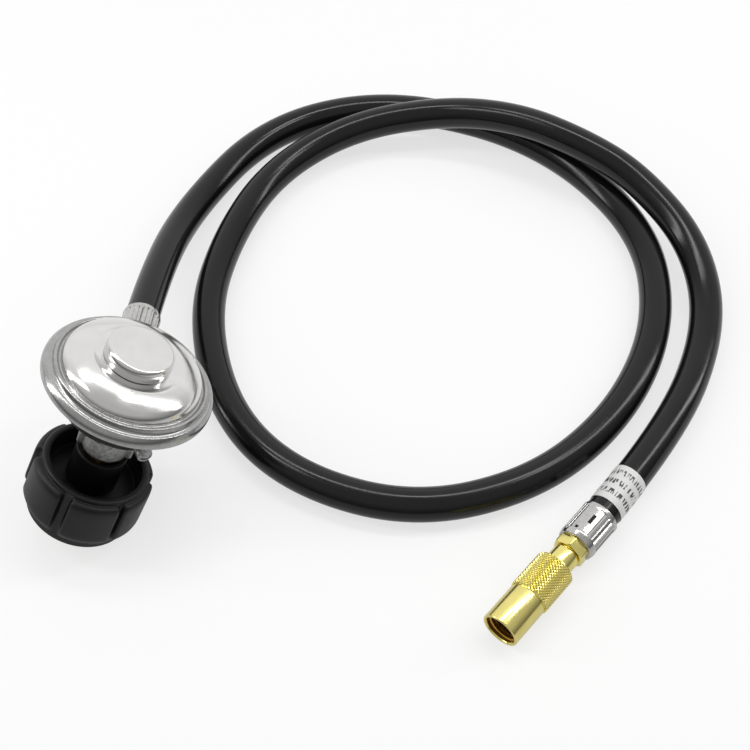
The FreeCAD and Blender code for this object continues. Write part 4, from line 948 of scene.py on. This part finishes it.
# studio: a pale floor, a tent that is white behind and darker in front, and three strip lamps
studioLook = {
    "floorSize": 6.0, "floorMiddle": (0.1, 0.1, -0.0002), "floorColour": (0.92, 0.92, 0.92, 1.0),
    "floorRoughness": 0.7, "floorShine": 0.2,
    "floorGlow": 0.68,                        # how much of the floor is plain white to the camera
    "floorFade": (-0.45, 0.0, 0.1, 0.95),     # from and to along Y, and how bright metal sees the floor there
    "tentFade": (0.05, 0.65, 0.12, 0.55),     # from and to upwards, and how bright the tent is there
    "behindFade": (0.15, 0.65),               # from and to along Y, where metal sees the tent turn white
    "stripPower": 3.2, "stripAim": (0.12, 0.06, 0.0),
    # place and size in metres: each strip's long side lies along the tent's edge
    "strips": {
        "rightStrip": ((0.85, 0.22, 0.72), (0.12, 1.1)),
        "leftStrip": ((-0.62, 0.08, 0.62), (0.12, 1.1)),
        "topStrip": ((0.16, 0.42, 1.15), (0.9, 0.12)),
    },
}
pureWhite = (1.0, 1.0, 1.0, 1.0)


def addFade(tree, source, start, end, low=0.0, high=1.0):
    # runs from low to high while the source goes from start to end
    fade = addNode(tree, "ShaderNodeMapRange", {"From Min": start, "From Max": end, "To Min": low, "To Max": high},
                   {"Value": source})
    return fade.outputs["Result"]


def addRays(tree):
    # 1 for what the camera sees straight, and 1 for what is seen in metal or through glass
    path = addNode(tree, "ShaderNodeLightPath")
    mirrored = addNode(tree, "ShaderNodeMath", {"operation": "ADD"},
                       {0: path.outputs["Is Glossy Ray"], 1: path.outputs["Is Transmission Ray"]})
    return path.outputs["Is Camera Ray"], mirrored.outputs[0]


def mixOver(tree, share, under, over, target):
    # target shows over where share is 1, and under where it is 0
    mixed = addNode(tree, "ShaderNodeMixShader", {}, {0: share, 1: under.outputs[0], 2: over.outputs[0]})
    tree.links.new(mixed.outputs[0], tree.nodes[target].inputs["Surface"])


def makeFloor():
    c = studioLook
    bpy.ops.mesh.primitive_plane_add(size=c["floorSize"], location=c["floorMiddle"])
    floor = bpy.context.object
    floor.name = "floor"
    material, tree, shader = newMaterial("palePaintedFloor")
    shader.inputs["Base Color"].default_value = c["floorColour"]
    shader.inputs["Roughness"].default_value = c["floorRoughness"]
    shader.inputs["Specular IOR Level"].default_value = c["floorShine"]
    straight, mirrored = addRays(tree)
    shown = addNode(tree, "ShaderNodeMath", {"operation": "ADD", "use_clamp": True}, {0: straight, 1: mirrored})
    share = addNode(tree, "ShaderNodeMath", {"operation": "MULTIPLY", 1: c["floorGlow"]}, {0: shown.outputs[0]})
    # metal sees the floor white behind the object and darker in front of it, as it sees the tent
    spot = addNode(tree, "ShaderNodeTexCoord")
    parts = addNode(tree, "ShaderNodeSeparateXYZ", {}, {"Vector": spot.outputs["Object"]})
    depth = addFade(tree, parts.outputs["Y"], *c["floorFade"])
    inMetal = addNode(tree, "ShaderNodeMath", {"operation": "MULTIPLY"}, {0: depth, 1: mirrored})
    glow = addNode(tree, "ShaderNodeMath", {"operation": "ADD"}, {0: straight, 1: inMetal.outputs[0]})
    white = addNode(tree, "ShaderNodeEmission", {"Color": pureWhite}, {"Strength": glow.outputs[0]})
    mixOver(tree, share.outputs[0], shader, white, "Material Output")
    floor.data.materials.append(material)


def makeTent():
    c = studioLook
    world = bpy.data.worlds.new("studio")
    bpy.context.scene.world = world
    world.use_nodes = True
    tree = world.node_tree
    tent = tree.nodes["Background"]
    tent.inputs["Color"].default_value = pureWhite
    way = addNode(tree, "ShaderNodeTexCoord")
    parts = addNode(tree, "ShaderNodeSeparateXYZ", {}, {"Vector": way.outputs["Generated"]})
    tree.links.new(addFade(tree, parts.outputs["Z"], *c["tentFade"]), tent.inputs["Strength"])
    backdrop = addNode(tree, "ShaderNodeBackground", {"Color": pureWhite, "Strength": 1.0})
    straight, mirrored = addRays(tree)
    behind = addNode(tree, "ShaderNodeMath", {"operation": "MULTIPLY"},
                     {0: mirrored, 1: addFade(tree, parts.outputs["Y"], *c["behindFade"])})
    shown = addNode(tree, "ShaderNodeMath", {"operation": "ADD", "use_clamp": True},
                    {0: straight, 1: behind.outputs[0]})
    mixOver(tree, shown.outputs[0], tent, backdrop, "World Output")


def addStrip(name, place, size):
    lamp = bpy.data.lights.new(name, "AREA")
    lamp.shape = "RECTANGLE"
    lamp.size, lamp.size_y = size
    lamp.energy = studioLook["stripPower"]
    holder = bpy.data.objects.new(name, lamp)
    holder.location = place
    holder.rotation_euler = (Vector(studioLook["stripAim"]) - Vector(place)).to_track_quat("-Z", "Y").to_euler()
    bpy.context.scene.collection.objects.link(holder)


makeFloor()
makeTent()
for name, (place, size) in studioLook["strips"].items():
    addStrip(name, place, size)
print("studio lit")

bpy.context.scene.view_settings.view_transform = "Standard"

print("scene ready")
